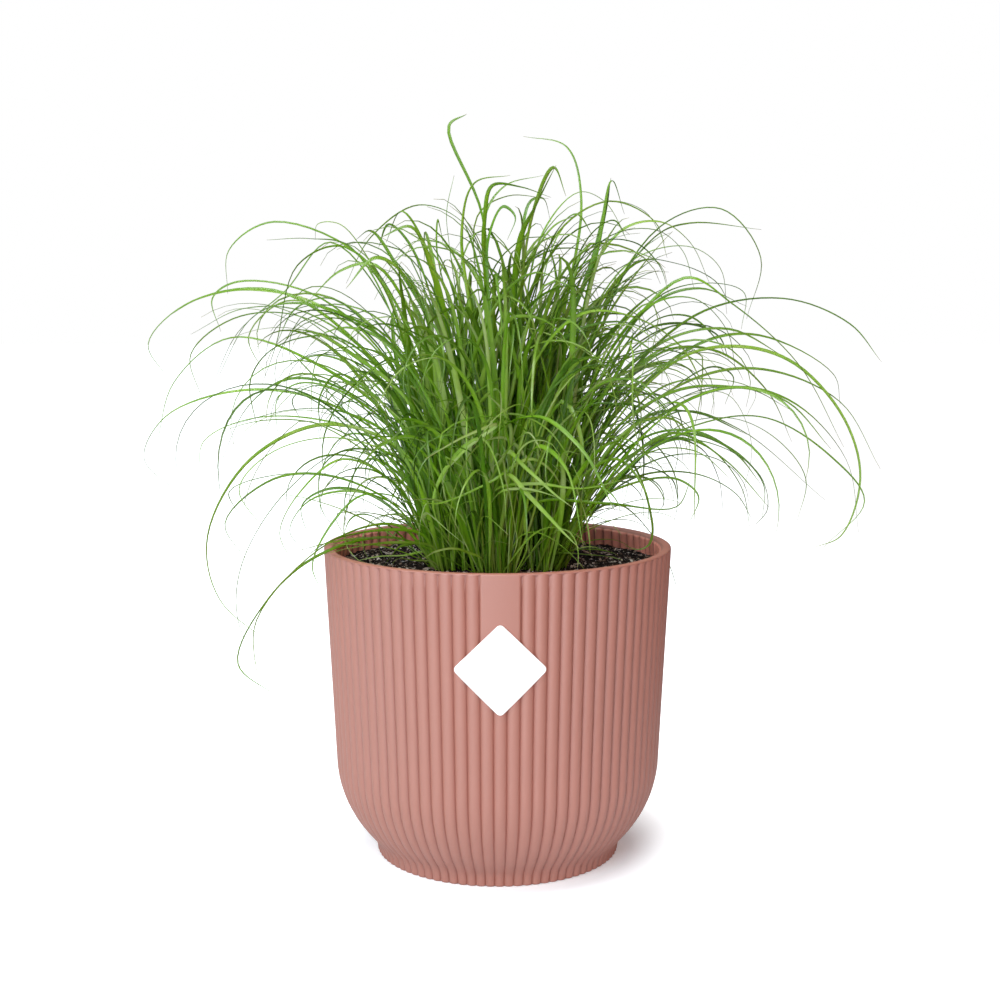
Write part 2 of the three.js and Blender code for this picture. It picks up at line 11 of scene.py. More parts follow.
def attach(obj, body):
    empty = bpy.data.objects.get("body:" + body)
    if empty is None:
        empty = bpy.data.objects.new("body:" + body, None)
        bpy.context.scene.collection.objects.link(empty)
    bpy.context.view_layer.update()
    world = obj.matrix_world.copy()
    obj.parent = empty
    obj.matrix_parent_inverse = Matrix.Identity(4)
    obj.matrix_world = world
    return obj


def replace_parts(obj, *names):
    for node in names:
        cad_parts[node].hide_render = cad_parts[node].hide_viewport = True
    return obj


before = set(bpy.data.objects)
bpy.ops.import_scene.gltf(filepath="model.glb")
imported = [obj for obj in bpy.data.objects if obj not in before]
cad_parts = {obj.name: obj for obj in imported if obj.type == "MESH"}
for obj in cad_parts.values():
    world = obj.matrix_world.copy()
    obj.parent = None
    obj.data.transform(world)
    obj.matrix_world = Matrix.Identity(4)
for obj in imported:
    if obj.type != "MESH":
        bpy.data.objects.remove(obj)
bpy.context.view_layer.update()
MM = 0.001
TURN = 2 * math.pi

# Pot
POT_HEIGHT = 125.0
RIM_RADIUS = 69.9
WAIST_RADIUS = 65.9
WAIST_HEIGHT = 42.0
FOOT_RADIUS = 49.3
FOOT_TOP_RADIUS = 50.3
FOOT_HEIGHT = 5.5
FOOT_CHAMFER = 0.35
BELLY_PULL = (66.3, 21.0)
CORNER_SOFTNESS = 2.4
RIB_COUNT = 84
RIB_DEPTH = 1.25
RIB_PITCH = TURN / RIB_COUNT
POINTS_PER_RIB = 12
POT_SIDES = RIB_COUNT * POINTS_PER_RIB
FRONT = -math.pi / 2 + 0.23 * RIB_PITCH
GROOVE_POWER = 7
GROOVE_END = 0.5
PANEL_RIBS = 3
PANEL_BOTTOM = 90.0
PANEL_SINK = 0.16
PANEL_FADE = 3.0
PANEL_EDGE = 0.07
PANEL_GROOVE = 0.1
RIM_TOP = 125.65
RIB_TOP = 125.15
RIB_ARCH = 0.6
BAND_SINK = 0.3
BAND_FADE = 0.25
LIP_INNER_RADIUS = 66.1
# How much of the inner wall's brighter colour the lip takes on: painted light.
LIP_PAINTED_LIGHT = 0.3
WALL = 2.7
MOUTH_STEP = 0.75
MOUTH_DEPTH = 14.0
MOUTH_WIDENING = 0.9
INNER_RIB_DEPTH = 1.0
INNER_RIB_POWER = 2.4
INNER_RIB_START = 0.6
INNER_RIB_FADE = 1.2
INNER_GROOVE_POWER = 3
INNER_GROOVE_START = 1.0
FLOOR_THICKNESS = 3.5

# Soil
SOIL_TOP = 117.5
SOIL_BOTTOM = FLOOR_THICKNESS + 0.3
SOIL_GAP = 0.25
SOIL_SIDES = 420
SOIL_LUMP = 0.9
SOIL_GRAIN = 0.42
SOIL_INNER_RINGS = (6.0, 13.0, 20.0, 25.0)
SOIL_FINE_FROM = 28.0
SOIL_RING_STEP = 0.62
CRUMB_MARGIN = 1.2
CRUMB_SINK = 0.3
CRUMB_TIP = 1.3

# Label
LABEL_ANGLE = 0.016
LABEL_HEIGHT = 89.7
LABEL_HALF_DIAGONAL = 17.0
LABEL_CORNER = 1.8
LABEL_GAP = 0.03
LABEL_THICKNESS = 0.32
LABEL_ROUNDING = 0.12
LABEL_COLUMNS = 96
LABEL_FACE_SHARES = (0.93, 0.7, 0.4)

# Shoots and leaves, by the same rule as the part's own
RING_SHOOTS = 6
SHOOT_SPACING = 21.0
CROWN_RADIUS = 9.8
CROWN_TOP = 120.5
ROOTS_PER_SHOOT = 36
ROOT_REACH = 8.4
ROOT_HEIGHT = 115.5
NEAREST_ROOTS = 40
PLACED_ROOT_LIMIT = 27.0
OUTER_ROOT = 30.0
COARSE_CURVE_STEPS = 2
CURVE_STEPS = 8
GOLDEN_ANGLE = math.pi * (3 - math.sqrt(5))
ARCH_STEPS = 28
TIP_STEPS = 3
MOST_TILT = math.radians(192)
DROOPS = (70.0, 165.0)
SWIRL = 2.2
LENGTHS = (146.0, 220.0)
WIDTHS = (1.4, 1.9)
MOST_SHORTENED = 0.7
OUTER_FROM = 30.0
OUTER_FULL = 60.0
LEAF_SEGMENTS = 5
SEGMENT_POWER = 0.7
TRIES = 36
SEED = 20417
LOOKS_SEED = 20418
CLEAR_OF_OTHERS = 1.95
CLEAR_OF_OWN = 1.0
RIM_ZONE = (62.0, 73.5)
RIM_CLEARANCE = 2.0
SOIL_ZONE = 66.0
SOIL_CLEARANCE = 1.6
BESIDE_CROWN = 1.1
ABOVE_CROWN = 1.2
BUSH_TOP = 263.0
BUSH_FALL = 0.0036
BUSH_REACH = 152.0
# The lowest that leaves hang beyond a radius
BUSH_FLOORS = ((46.0, 131.0), (66.0, 126.0))
# The pot's front that leaves leave open: half its width, where it starts and its height in the picture
OPEN_FRONT = (70.0, 40.0, 127.0)
EYE_DISTANCE = 632.0
EYE_HEIGHT = 227.5

# How a leaf shows, and where the finer ones stand
FINE_TAPER = 2.8
THINNEST = 0.1
ROOT_WIDTH = 0.45
FULL_WIDTH_FROM = 0.45
FACING_CALM = 0.6
OWN_FACING = 0.7
RANDOM_FACING = 0.35
FACING_WIDTH = 0.2
MOST_TWIST = 2.6
FRONT_ROLL = 0.7
MOST_ROLL = 0.9
ROLL_WAVE = 0.25
KEEL_DEPTH = 0.09
KEEL_SHARE = 0.16
FRONT_TIP = -55.0
FRONT_WIDENING = 1.06
LOW_START = 136
ROOT_PULL = 0.62
LOW_ROOT_PULL = 0.95
DEPTH_PULL = 0.5
FINE_ROOT_LIMIT = 30.0
FINE_CROWN_RADIUS = CROWN_RADIUS - 2.5
FINE_CURVE_STEPS = 7
EXTRA_TRIES = 16
EXTRA_CROWN_RADIUS = CROWN_RADIUS - 0.9
EXTRA_SWIRL = 2.6
EXTRA_SEED = 77003
MESH_SEED = 5150
KINKED_SHARE = 0.16
KINKS = (40.0, 110.0)
KINK_PLACES = (0.5, 0.9)
KINK_LENGTH = 0.07
# (how far, how many waves along the leaf)
TILT_WAVE = (0.07, 1.6)
TURN_WAVE = (0.16, 1.2)

# The leaves of the part that follow the photograph, each along its points after the root:
# (how far back the tip lies, width, how late it tapers, (sideways, height), ...)
PLACED_LEAVES = (
    # Left side, from high to low
    (12, 1.5, 1.8, (-27, 180), (-50, 237), (-88, 254), (-106, 243), (-107, 226)),
    (-14, 1.9, 1.8, (-34, 195), (-58, 244), (-74, 247.5), (-91, 247)),
    (34, 1.8, 1.8, (-36, 205), (-66, 246), (-84, 227), (-103, 211), (-113, 192)),
    (-30, 1.7, 1.8, (-30, 200), (-60, 244), (-79, 237), (-88, 206), (-94, 190)),
    (-4, 1.8, 1.8, (-37, 188), (-70, 224), (-103, 230.5), (-113, 224), (-110, 211)),
    (24, 1.6, 1.8, (-40, 186), (-84, 226), (-121, 223), (-139, 206), (-132, 193)),
    (48, 1.8, 1.8, (-42, 190), (-75, 218), (-101, 220), (-122, 210)),
    (-38, 1.5, 1.8, (-36, 176), (-73, 215), (-102, 217), (-122, 202), (-118, 184)),
    (8, 1.8, 1.8, (-40, 172), (-72, 198), (-106, 208.5), (-129, 191), (-137, 165)),
    (20, 1.7, 1.8, (-42, 164), (-72, 184), (-103, 187.5), (-133, 177), (-142, 160), (-128, 146)),
    (-44, 1.9, 1.8, (-36, 161), (-68, 174), (-99, 160), (-117, 129), (-113, 103), (-88, 81)),
    (-22, 1.9, 1.8, (-36, 150), (-60, 163.5), (-85, 147), (-103, 119), (-106, 96), (-97, 72)),
    (40, 1.7, 1.8, (-44, 144), (-76, 154.5), (-108, 147), (-104, 137)),
    (-40, 1.9, 1.8, (-42, 128), (-72, 121), (-93, 103), (-106, 76), (-90, 62)),
    (-56, 1.8, 1.8, (-40, 133), (-68, 126), (-98, 94), (-98, 67)),
    # Top
    (6, 1.8, 4, (-4, 200), (-6, 256), (-19, 291), (-12, 295.5)),
    (-24, 1.6, 1.8, (-9, 205), (-14, 250), (-9, 269), (5, 272)),
    (18, 1.9, 3, (-20, 200), (-29, 245), (-38, 258), (-44, 246)),
    (34, 1.6, 1.8, (-2, 210), (-12, 252), (-31, 260.5), (-50, 248), (-60, 230)),
    (-12, 1.9, 5, (8, 205), (14, 257), (22, 275), (27, 264)),
    (10, 1.9, 5, (28, 190), (40, 245), (45, 270), (50, 257)),
    (40, 1.5, 1.8, (24, 205), (33, 262), (27, 283), (10, 287)),
    (-16, 1.8, 1.8, (36, 202), (64, 252), (88, 259), (104, 240), (99, 216)),
    (28, 1.7, 1.8, (34, 205), (62, 248), (76, 253.5), (104, 251)),
    # Right side, from high to low
    (10, 1.9, 1.8, (42, 178), (78, 217), (113, 224), (140, 214), (153, 199)),
    (-30, 1.8, 1.8, (40, 190), (74, 232), (93, 222), (120, 198), (139, 165)),
    (46, 1.7, 1.8, (44, 174), (80, 206), (104, 209.5), (134, 194), (137, 182)),
    (-8, 1.9, 1.8, (44, 166), (78, 192), (106, 196), (137, 183), (154, 156)),
    (26, 1.9, 1.8, (48, 163), (88, 188), (116, 184), (140, 160), (146, 130)),
    (-40, 1.9, 1.8, (44, 154), (84, 175), (108, 176.5), (134, 161), (148, 143), (132, 124)),
    (8, 1.9, 1.8, (48, 158), (72, 179), (97, 172), (132, 143.5)),
    (-20, 1.9, 1.8, (44, 150), (70, 170.5), (91, 160), (110, 140)),
    (-48, 1.9, 1.8, (14, 141), (42, 142), (72, 140.5), (78, 152)),
    (36, 1.7, 1.8, (42, 150), (60, 152), (67, 143), (62, 135)),
    (62, 1.7, 1.8, (46, 142), (66, 124), (76, 97)),
    # Front
    (-92, 1.9, 3, (-2, 168), (16, 177), (34, 164), (48, 138)),
    (-80, 1.9, 3, (-16, 160), (-36, 176), (-54, 163), (-62, 132)),
    (-96, 1.9, 3, (8, 146), (16, 165), (28, 156), (35, 124)),
    (-70, 1.8, 1.8, (-20, 146), (-34, 166), (-52, 168), (-74, 150)),
    (-60, 1.8, 1.8, (22, 160), (42, 188), (62, 186), (80, 162)),
)

# Finer leaves that the solids leave out, in the same way:
# (how far back the tip lies, width, tone, (sideways, height), ...)
FINE_LEAVES = (
    # Right side, from high to low
    (20, 0.7, 0.8, (8, 205), (24, 250), (44, 262), (62, 254), (67, 240)),
    (-14, 1.4, 0.6, (20, 205), (42, 247), (62, 251), (73, 243), (78, 228)),
    (16, 1.0, 0.8, (26, 205), (48, 250), (64, 254), (76, 246), (84, 230)),
    (38, 0.8, 0.7, (30, 200), (52, 238), (75, 244.5), (88, 236), (91, 218)),
    (-26, 1.4, 0.3, (20, 205), (38, 245), (54, 246), (64, 237), (68, 226)),
    (30, 1.1, 0.2, (30, 198), (54, 238), (70, 238), (86, 231), (92, 222)),
    (-18, 1.4, 0.5, (38, 190), (66, 226), (88, 230), (98, 226), (97, 212)),
    (8, 1.8, 0.4, (38, 186), (62, 222), (80, 228), (99, 221)),
    (-30, 1.4, 0.5, (36, 186), (60, 221), (78, 224), (91, 212), (95, 196)),
    (24, 1.0, 0.6, (36, 182), (62, 215), (76, 217), (86, 209), (91, 201)),
    (44, 1.1, 0.3, (34, 180), (58, 211), (76, 214), (88, 209), (92, 200)),
    (-46, 2.0, 0.8, (14, 196), (34, 218), (56, 216), (73, 205), (84, 186)),
    (14, 1.5, 0.5, (40, 182), (66, 207), (92, 212), (116, 200)),
    (34, 1.0, 0.5, (42, 178), (66, 203), (88, 203), (108, 187), (118, 167)),
    (-12, 1.2, 0.8, (44, 170), (74, 201), (98, 205), (119, 198),
     (139, 176), (146, 152), (139, 129), (128, 124)),
    (-34, 1.1, 0.2, (36, 168), (54, 191), (68, 194.5), (84, 186)),
    (10, 1.4, 0.4, (44, 166), (68, 187), (86, 197), (94, 193), (91, 182)),
    (46, 0.8, 0.7, (42, 164), (66, 189), (88, 192), (103, 187), (100, 178)),
    (-24, 1.2, 0.6, (42, 166), (70, 187), (94, 189), (116, 183), (134, 164)),
    (18, 1.5, 0.3, (44, 160), (66, 180), (82, 188), (101, 188), (117, 180)),
    (-6, 0.7, 0.9, (44, 160), (72, 184), (92, 186), (102, 166), (98, 143)),
    (30, 0.9, 0.7, (48, 150), (72, 173), (94, 176.5), (112, 168), (124, 152), (121, 135)),
    (-36, 1.5, 0.4, (44, 146), (68, 167), (90, 165), (106, 153), (109, 140), (104, 133)),
    (6, 1.2, 0.5, (42, 144), (66, 168), (84, 165), (98, 149), (102, 132)),
    (-16, 1.1, 0.4, (46, 150), (74, 170), (94, 164), (107, 150), (107, 136)),
    (26, 1.5, 0.2, (48, 150), (68, 168), (82, 164), (89, 152), (91, 139)),
    (-50, 1.1, 0.7, (40, 144), (62, 163), (80, 163), (94, 152)),
    (40, 0.9, 0.5, (40, 142), (58, 153.5), (80, 154), (96, 146), (103, 135)),
    (-28, 1.1, 0.6, (36, 140), (54, 150), (72, 152), (81, 145), (77, 133)),
    (2, 1.1, 0.2, (40, 143), (56, 157), (70, 152), (73, 142)),
    (22, 1.0, 0.5, (34, 140), (50, 151), (58, 145), (59, 135)),
    (-40, 1.2, 0.7, (30, 148), (48, 160), (60, 146), (61, 133)),
    (12, 1.7, 0.4, (46, 164), (62, 178), (80, 178.5), (100, 170)),
    (-20, 1.3, 0.3, (44, 156), (62, 170), (80, 171), (96, 162), (106, 150)),
    # Left side, from high to low
    (26, 0.8, 0.8, (-30, 200), (-50, 238), (-62, 253), (-71, 253), (-72, 247)),
    (-20, 1.5, 0.5, (-24, 205), (-40, 237), (-50, 250.5), (-56, 247)),
    (34, 1.5, 0.4, (-22, 205), (-34, 244), (-43, 253), (-47, 244)),
    (-36, 1.5, 0.4, (-34, 196), (-62, 218), (-84, 222), (-98, 216), (-112, 192)),
    (10, 1.3, 0.6, (-28, 200), (-48, 237), (-62, 235), (-75, 223)),
    (40, 1.0, 0.8, (-38, 190), (-70, 221), (-98, 227.5), (-118, 224), (-131, 217)),
    (-28, 1.4, 0.4, (-30, 190), (-50, 212), (-66, 224), (-80, 220), (-88, 206)),
    (20, 0.7, 0.9, (-36, 186), (-62, 216), (-84, 223), (-99, 209), (-92, 193)),
    (-10, 1.1, 0.5, (-34, 176), (-62, 208), (-88, 205), (-98.5, 192), (-96, 171)),
    (-42, 1.7, 0.7, (-34, 180), (-58, 202), (-74, 211), (-87, 211.5)),
    (-24, 1.7, 0.6, (-36, 150), (-56, 174), (-72, 192), (-85, 206)),
    (30, 1.1, 0.7, (-36, 172), (-56, 196), (-70, 201.5), (-84, 198)),
    (-2, 1.6, 0.4, (-38, 168), (-64, 189), (-84, 192), (-100, 181), (-112, 157)),
    (-32, 1.4, 0.5, (-40, 166), (-62, 179), (-82, 180), (-106, 174)),
    (16, 1.0, 0.6, (-38, 166), (-60, 186), (-79, 190.5), (-88, 184), (-88, 168)),
    (44, 0.9, 0.4, (-36, 164), (-56, 182), (-72, 189.5), (-82, 184), (-79, 176)),
    (-16, 1.0, 0.5, (-34, 166), (-52, 188), (-64, 194), (-71, 185), (-71, 171)),
    (28, 0.8, 0.7, (-40, 164), (-72, 176), (-100, 176), (-118, 167), (-120, 155)),
    (-38, 0.8, 0.8, (-38, 158), (-64, 168.5), (-90, 163), (-104, 148), (-94, 131)),
    (12, 1.1, 0.6, (-36, 160), (-60, 170), (-71, 155), (-71, 140), (-66, 132)),
    (-26, 1.1, 0.8, (-40, 148), (-62, 160), (-80, 146), (-88, 130), (-83, 118)),
    (-34, 1.0, 0.5, (-40, 140), (-66, 153), (-90, 152), (-110, 134), (-101, 118)),
    (22, 1.3, 0.4, (-36, 150), (-52, 160), (-61, 146), (-61.5, 133)),
    (36, 1.2, 0.4, (-38, 136), (-52, 146), (-68, 148), (-79, 141), (-76, 127)),
    (0, 1.0, 0.6, (-36, 138), (-58, 147), (-76, 143), (-84, 131), (-78, 122)),
    (-30, 1.0, 0.6, (-36, 142), (-54, 145.5), (-66, 135), (-75, 117), (-72, 107)),
    (-46, 1.6, 0.9, (-34, 126), (-52, 128), (-70, 125.5), (-83, 122)),
    (-40, 1.3, 0.7, (-30, 129), (-48, 131), (-68, 126.5), (-78, 120)),
    (-52, 1.5, 0.8, (-26, 124), (-40, 126), (-56, 124.5), (-72, 121)),
    # Top
    (-8, 1.6, 0.6, (-16, 205), (-24, 243), (-23.5, 255), (-21.5, 246)),
    (14, 0.8, 0.5, (-14, 205), (-19, 245), (-20, 258), (-17, 272)),
    (-16, 1.6, 0.5, (-4, 210), (-5, 255), (-2, 268), (9, 267.5), (21, 263.5)),
    (24, 0.9, 0.5, (-3, 210), (-5, 256), (3, 268), (18, 272)),
    (36, 0.7, 0.7, (-6, 210), (-8, 256), (4, 264), (20, 263)),
    (4, 0.9, 0.7, (10, 210), (18, 250), (32, 265.5), (42, 262), (50, 250)),
    (-30, 1.3, 0.4, (-2, 205), (-4, 246), (2, 260), (7, 256), (4, 247)),
    (18, 1.2, 0.4, (6, 205), (9, 245), (13, 262), (18, 263), (21, 254)),
    (-12, 2.4, 0.5, (6, 205), (9, 247), (15, 260), (23, 276)),
    (10, 2.2, 0.4, (26, 205), (38, 240), (43, 262), (44.5, 271)),
    (32, 0.8, 0.7, (14, 210), (26, 252), (44, 262), (58, 258), (66, 246)),
    (-22, 1.8, 0.5, (12, 205), (22, 248), (31, 257), (38, 248)),
    (-4, 1.3, 0.5, (22, 205), (36, 248), (46, 254.5), (51, 247)),
    (-34, 2.6, 0.8, (4, 200), (12, 236), (22, 252), (32, 257)),
    (-18, 2.4, 0.6, (-18, 200), (-26, 236), (-34, 252), (-46, 248)),
    (-28, 2.4, 0.7, (-24, 200), (-36, 232), (-48, 240), (-60, 228)),
    # Front, in bright thin arcs that cross
    (-84, 1.5, 0.9, (-10, 168), (4, 178), (20, 172), (34, 150), (40, 130)),
    (-88, 1.3, 1.0, (-22, 150), (-14, 163), (0, 174), (-14, 168.7), (-29, 160)),
    (-80, 1.4, 0.8, (-26, 140), (-18, 160), (-6, 168), (2, 150), (4, 128)),
    (-74, 1.2, 0.9, (16, 150), (4, 168), (-8, 165), (-17, 148), (-20, 126)),
    (-70, 1.3, 0.8, (26, 146), (14, 160), (-4, 150), (-24, 142), (-34, 144)),
    (-78, 1.2, 0.9, (-2, 146), (14, 150), (34, 148), (52, 152)),
    (-66, 1.4, 0.8, (20, 176), (34, 200), (50, 196), (60, 176)),
    (-62, 1.3, 0.9, (-8, 184), (-22, 200), (-38, 196), (-50, 178)),
    (-56, 2.0, 0.8, (1, 128), (3, 140), (4.2, 150), (5, 162), (5.5, 172), (2, 180), (-4, 186)),
    (-72, 1.6, 0.9, (-6, 128), (-6.5, 138), (-3.5, 149), (1, 158),
     (5, 164.5), (9, 169), (13, 170.5), (18, 163)),
    (-84, 1.5, 0.9, (-2, 146), (1, 160), (5, 163), (10, 158), (16.5, 152), (23, 146), (31, 140)),
    (-88, 1.7, 0.85, (-3, 140), (1, 152), (5, 153.5), (12, 146), (20, 137.5), (27, 130), (33, 124)),
    (-82, 1.1, 1.0, (-4, 150), (0, 162), (2.3, 159), (3.2, 152), (5, 145), (7, 133), (8, 127), (7, 122)),
    (-66, 0.9, 0.8, (12, 124), (11, 133), (12.3, 143), (14.5, 151), (18, 160), (21, 168), (25, 178)),
    (-80, 1.0, 1.0, (-4, 138), (-2, 143), (2, 147), (8, 148), (14, 147.6), (20, 146), (27, 143.5)),
    (-60, 0.9, 1.0, (-12, 132), (-17, 139.5), (-24, 143.2), (-31, 143.7), (-37, 142.5), (-43, 139.5)),
    (-70, 0.8, 0.8, (-23, 130), (-21.5, 136), (-17, 140), (-12.5, 142.6), (-8, 142.8)),
    (-82, 1.2, 1.0, (-26, 128), (-30, 135), (-28.5, 138), (-25, 135.5), (-20, 131), (-12, 124.5)),
    (-76, 1.3, 0.9, (-14, 140), (-19, 156), (-20.5, 160.5), (-14, 157), (-8, 154.5), (-3, 151.5)),
    (-80, 1.0, 0.9, (-6, 119), (-12, 122), (-18, 123.6), (-25, 122.4), (-30, 119.5)),
    (-40, 2.2, 0.6, (-9, 120), (-12, 127), (-16, 139), (-20, 151), (-24, 163), (-28, 174), (-34, 184)),
    (-66, 1.9, 0.6, (-14, 142), (-19, 156), (-26, 165), (-35, 169), (-43, 167.5), (-50, 163), (-56, 155)),
    (-52, 1.6, 0.9, (-17.5, 119), (-19, 127), (-21, 136), (-24, 146), (-28, 156), (-36, 164)),
    (-50, 1.8, 0.7, (-24, 122), (-27, 134), (-31, 147), (-36, 158), (-42, 168), (-50, 178)),
    (-60, 2.0, 0.9, (23, 122), (24.8, 131), (26, 142), (26.5, 152), (26, 160), (28, 163), (33, 162)),
    (-70, 1.1, 0.9, (34, 128), (34, 136), (33.8, 143), (35, 151),
     (37, 160), (40, 167), (42, 174), (43, 182)),
    (-74, 1.0, 0.95, (30, 150), (33, 144), (35.5, 137), (37, 129), (37.7, 121)),
    (-40, 1.6, 0.9, (30, 176), (44, 192), (54, 188), (57.5, 178), (56.5, 168), (54.5, 158), (50.3, 139)),
    # Low, over the soil
    (10, 1.3, 0.8, (34, 160), (42, 170.5), (48, 166.5), (55, 157), (59, 148),
     (61.7, 138), (62.6, 130), (61, 125), (57, 123.3), (51, 125)),
    (-30, 1.1, 0.9, (22, 121), (30, 121.6), (38, 121), (45, 120.4), (51, 118.8)),
    (-20, 0.9, 1.0, (24, 120), (31, 123), (38, 124.3), (45, 122.5)),
    (10, 0.7, 1.0, (-34, 134), (-44, 137.5), (-51, 134.5), (-54.3, 129), (-54, 123), (-51.5, 118)),
    (0, 0.6, 1.0, (-33, 136), (-42, 139.5), (-46.5, 135.5), (-48.3, 129), (-47.6, 123), (-45, 118.5)),
    (-30, 0.6, 1.0, (-40, 150), (-52, 152), (-60, 142), (-62, 133), (-61, 125), (-57, 119.5), (-53, 117.5)),
    (14, 0.7, 1.0, (-30, 131), (-36, 132.5), (-41, 130.5), (-43.5, 126)),
    (-20, 0.8, 0.9, (-28, 122), (-38, 120.8), (-48, 120.4), (-57, 118.6)),
    (-14, 1.2, 0.8, (-28, 127), (-35, 125.5), (-40, 124), (-43, 120.5), (-45.8, 117)),
    (20, 0.7, 1.0, (-28, 123), (-33, 125.6), (-38, 126.3), (-44, 125)),
    (-40, 0.8, 0.9, (-26, 118), (-34, 118.7), (-40, 119.6), (-43, 117)),
    (26, 0.7, 1.0, (-32, 133), (-40, 137.6), (-46, 136.8), (-51, 134)),
    (8, 1.0, 0.8, (-30, 133), (-36, 135.2), (-42, 135.6), (-46, 136.3)),
)

# And random ones. Each kind: how many on a shoot, width, lean, droop, power, length, how far its heading
# strays from straight outward or from where it goes towards, how high and far out it may reach, its tone
EXTRA_KINDS = (
    # Over the crest
    dict(count=14, width=(1.8, 3.0), lean=(0, 20), droop=(60, 178), power=(4, 9), length=(130, 180),
         stray=6.2, top=266, reach=84, tone=(0.5, 1.0)),
    dict(count=4, width=(1.4, 2.4), lean=(8, 22), droop=(50, 140), power=(4, 8), length=(135, 165),
         stray=1.8, towards=0.0, top=270, reach=70, tone=(0.2, 1.0)),
    dict(count=2, width=(1.6, 2.6), lean=(8, 18), droop=(70, 150), power=(4, 7), length=(130, 148),
         stray=1.4, towards=math.pi, top=252, reach=58, tone=(0.4, 1.0)),
    # Middle arches
    dict(count=8, width=(1.3, 2.3), lean=(0, 30), droop=(90, 178), power=(1.8, 4.4), length=(110, 180),
         stray=4.6, top=250, reach=84, tone=(0.3, 1.0)),
    # More of them to the right
    dict(count=5, width=(1.5, 2.4), lean=(10, 32), droop=(60, 150), power=(2, 4), length=(110, 160),
         stray=1.3, towards=0.0, top=252, reach=90, tone=(0.1, 0.8)),
    # Filling the inside
    dict(count=20, width=(1.2, 2.2), lean=(0, 22), droop=(12, 90), power=(1.6, 4), length=(60, 135),
         stray=4.4, top=228, reach=70, tone=(0.0, 0.6)),
    # Thin wisps
    dict(count=5, width=(0.6, 1.0), lean=(3, 36), droop=(100, 185), power=(1.4, 3.0), length=(120, 225),
         stray=3.4, top=268, reach=112, tone=(0.5, 1.0)),
    # Low over the soil
    dict(count=5, width=(0.4, 0.8), lean=(24, 66), droop=(88, 160), power=(0.9, 2.0), length=(34, 80),
         stray=1.4, tone=(0.7, 1.0)),
    # Short ones round the stems
    dict(count=22, width=(0.8, 1.5), lean=(0, 20), droop=(8, 60), power=(1.5, 3.0), length=(36, 95),
         stray=2.4, top=220, reach=72, tone=(0.2, 1.0)),
)

# Places that stay open between the leaves, seen from the front, as (sideways, height, radius)
OPEN_PLACES = (
    (-51, 223, 5), (-77, 229, 5), (-78, 205, 4), (-54, 232, 3), (80, 159, 4), (-48, 216, 3),
    (-62, 214, 3), (72, 230, 3), (-17, 249, 2), (-67, 227, 3.4), (-52, 156, 3), (76, 207, 2.6),
    (-66, 197, 3), (78, 196, 3), (77, 185, 2.6), (-59, 134, 3), (-21, 229, 1.8), (6, 249, 2.0),
    (80, 221, 3), (58, 257, 3.2), (21, 256, 2.2), (-78, 170, 3), (66, 148, 3), (-62, 230, 3),
    (-44, 204, 2),
)

# Leaf rule

class Draws:
    """Random numbers from 0 to 1, the same in every run."""

    def __init__(self, seed):
        self.state = seed

    def __call__(self):
        self.state = (self.state * 1664525 + 1013904223) % 4294967296
        return self.state / 4294967296

    def between(self, low, high, power=1):
        return low + (high - low) * self() ** power

    def either_way(self, whole):
        """From half of the whole below 0 to half of it above."""
        return (self() - 0.5) * whole

    def on_disc(self, reach, centre=(0.0, 0.0)):
        radius = reach * math.sqrt(self())
        return on_circle(radius, TURN * self(), centre)


def on_circle(radius, angle, centre=(0.0, 0.0)):
    return centre[0] + radius * math.cos(angle), centre[1] + radius * math.sin(angle)


SHOOT_CENTRES = [(0.0, 0.0)] + [
    on_circle(SHOOT_SPACING, -math.pi / 2 + shoot / RING_SHOOTS * TURN) for shoot in range(RING_SHOOTS)
]


def root_places():
    roots = []
    for shoot, centre in enumerate(SHOOT_CENTRES):
        for index in range(ROOTS_PER_SHOOT):
            radius = ROOT_REACH * math.sqrt((index + 0.5) / ROOTS_PER_SHOOT)
            roots.append((*on_circle(radius, index * GOLDEN_ANGLE + shoot, centre), shoot))
    return roots


def wanted_root(first_x, pull, depth, limit):
    """Where a placed leaf would best stand, from where it first passes and how far back its tip lies."""
    return max(-limit, min(limit, first_x * pull)), max(-limit, min(limit, depth * DEPTH_PULL))


def smoothstep(x):
    x = np.clip(x, 0, 1)
    return x * x * (3 - 2 * x)


def along_sight(x, y, z):
    """Moves a point read from the front along the line of sight to its true depth."""
    spread = 1 + y / EYE_DISTANCE
    return x * spread, y, EYE_HEIGHT + (z - EYE_HEIGHT) * spread


def smooth_curve(points, steps):
    """A centripetal Catmull-Rom curve through the points, in that many steps for each stretch."""
    points = [np.array(p, float) for p in points]
    ends = [2 * points[0] - points[1], *points, 2 * points[-1] - points[-2]]
    out = []
    for p0, p1, p2, p3 in zip(ends, ends[1:], ends[2:], ends[3:]):
        d0, d1, d2 = (((b - a) @ (b - a)) ** 0.25 for a, b in ((p0, p1), (p1, p2), (p2, p3)))
        t1 = ((p1 - p0) / d0 - (p2 - p0) / (d0 + d1) + (p2 - p1) / d1) * d1
        t2 = ((p2 - p1) / d1 - (p3 - p1) / (d1 + d2) + (p3 - p2) / d2) * d1
        for step in range(steps):
            t = step / steps
            square = -3 * p1 + 3 * p2 - 2 * t1 - t2
            cube = 2 * p1 - 2 * p2 + t1 + t2
            out.append(p1 + t1 * t + square * t * t + cube * t ** 3)
    out.append(points[-1])
    return np.array(out)


def placed_points(depth, path, root):
    points = [(root[0], root[1], ROOT_HEIGHT)]
    for index, (x, z) in enumerate(path):
        y = root[1] + (depth - root[1]) * (index + 1) / len(path)
        points.append(along_sight(x, y, z))
    return points


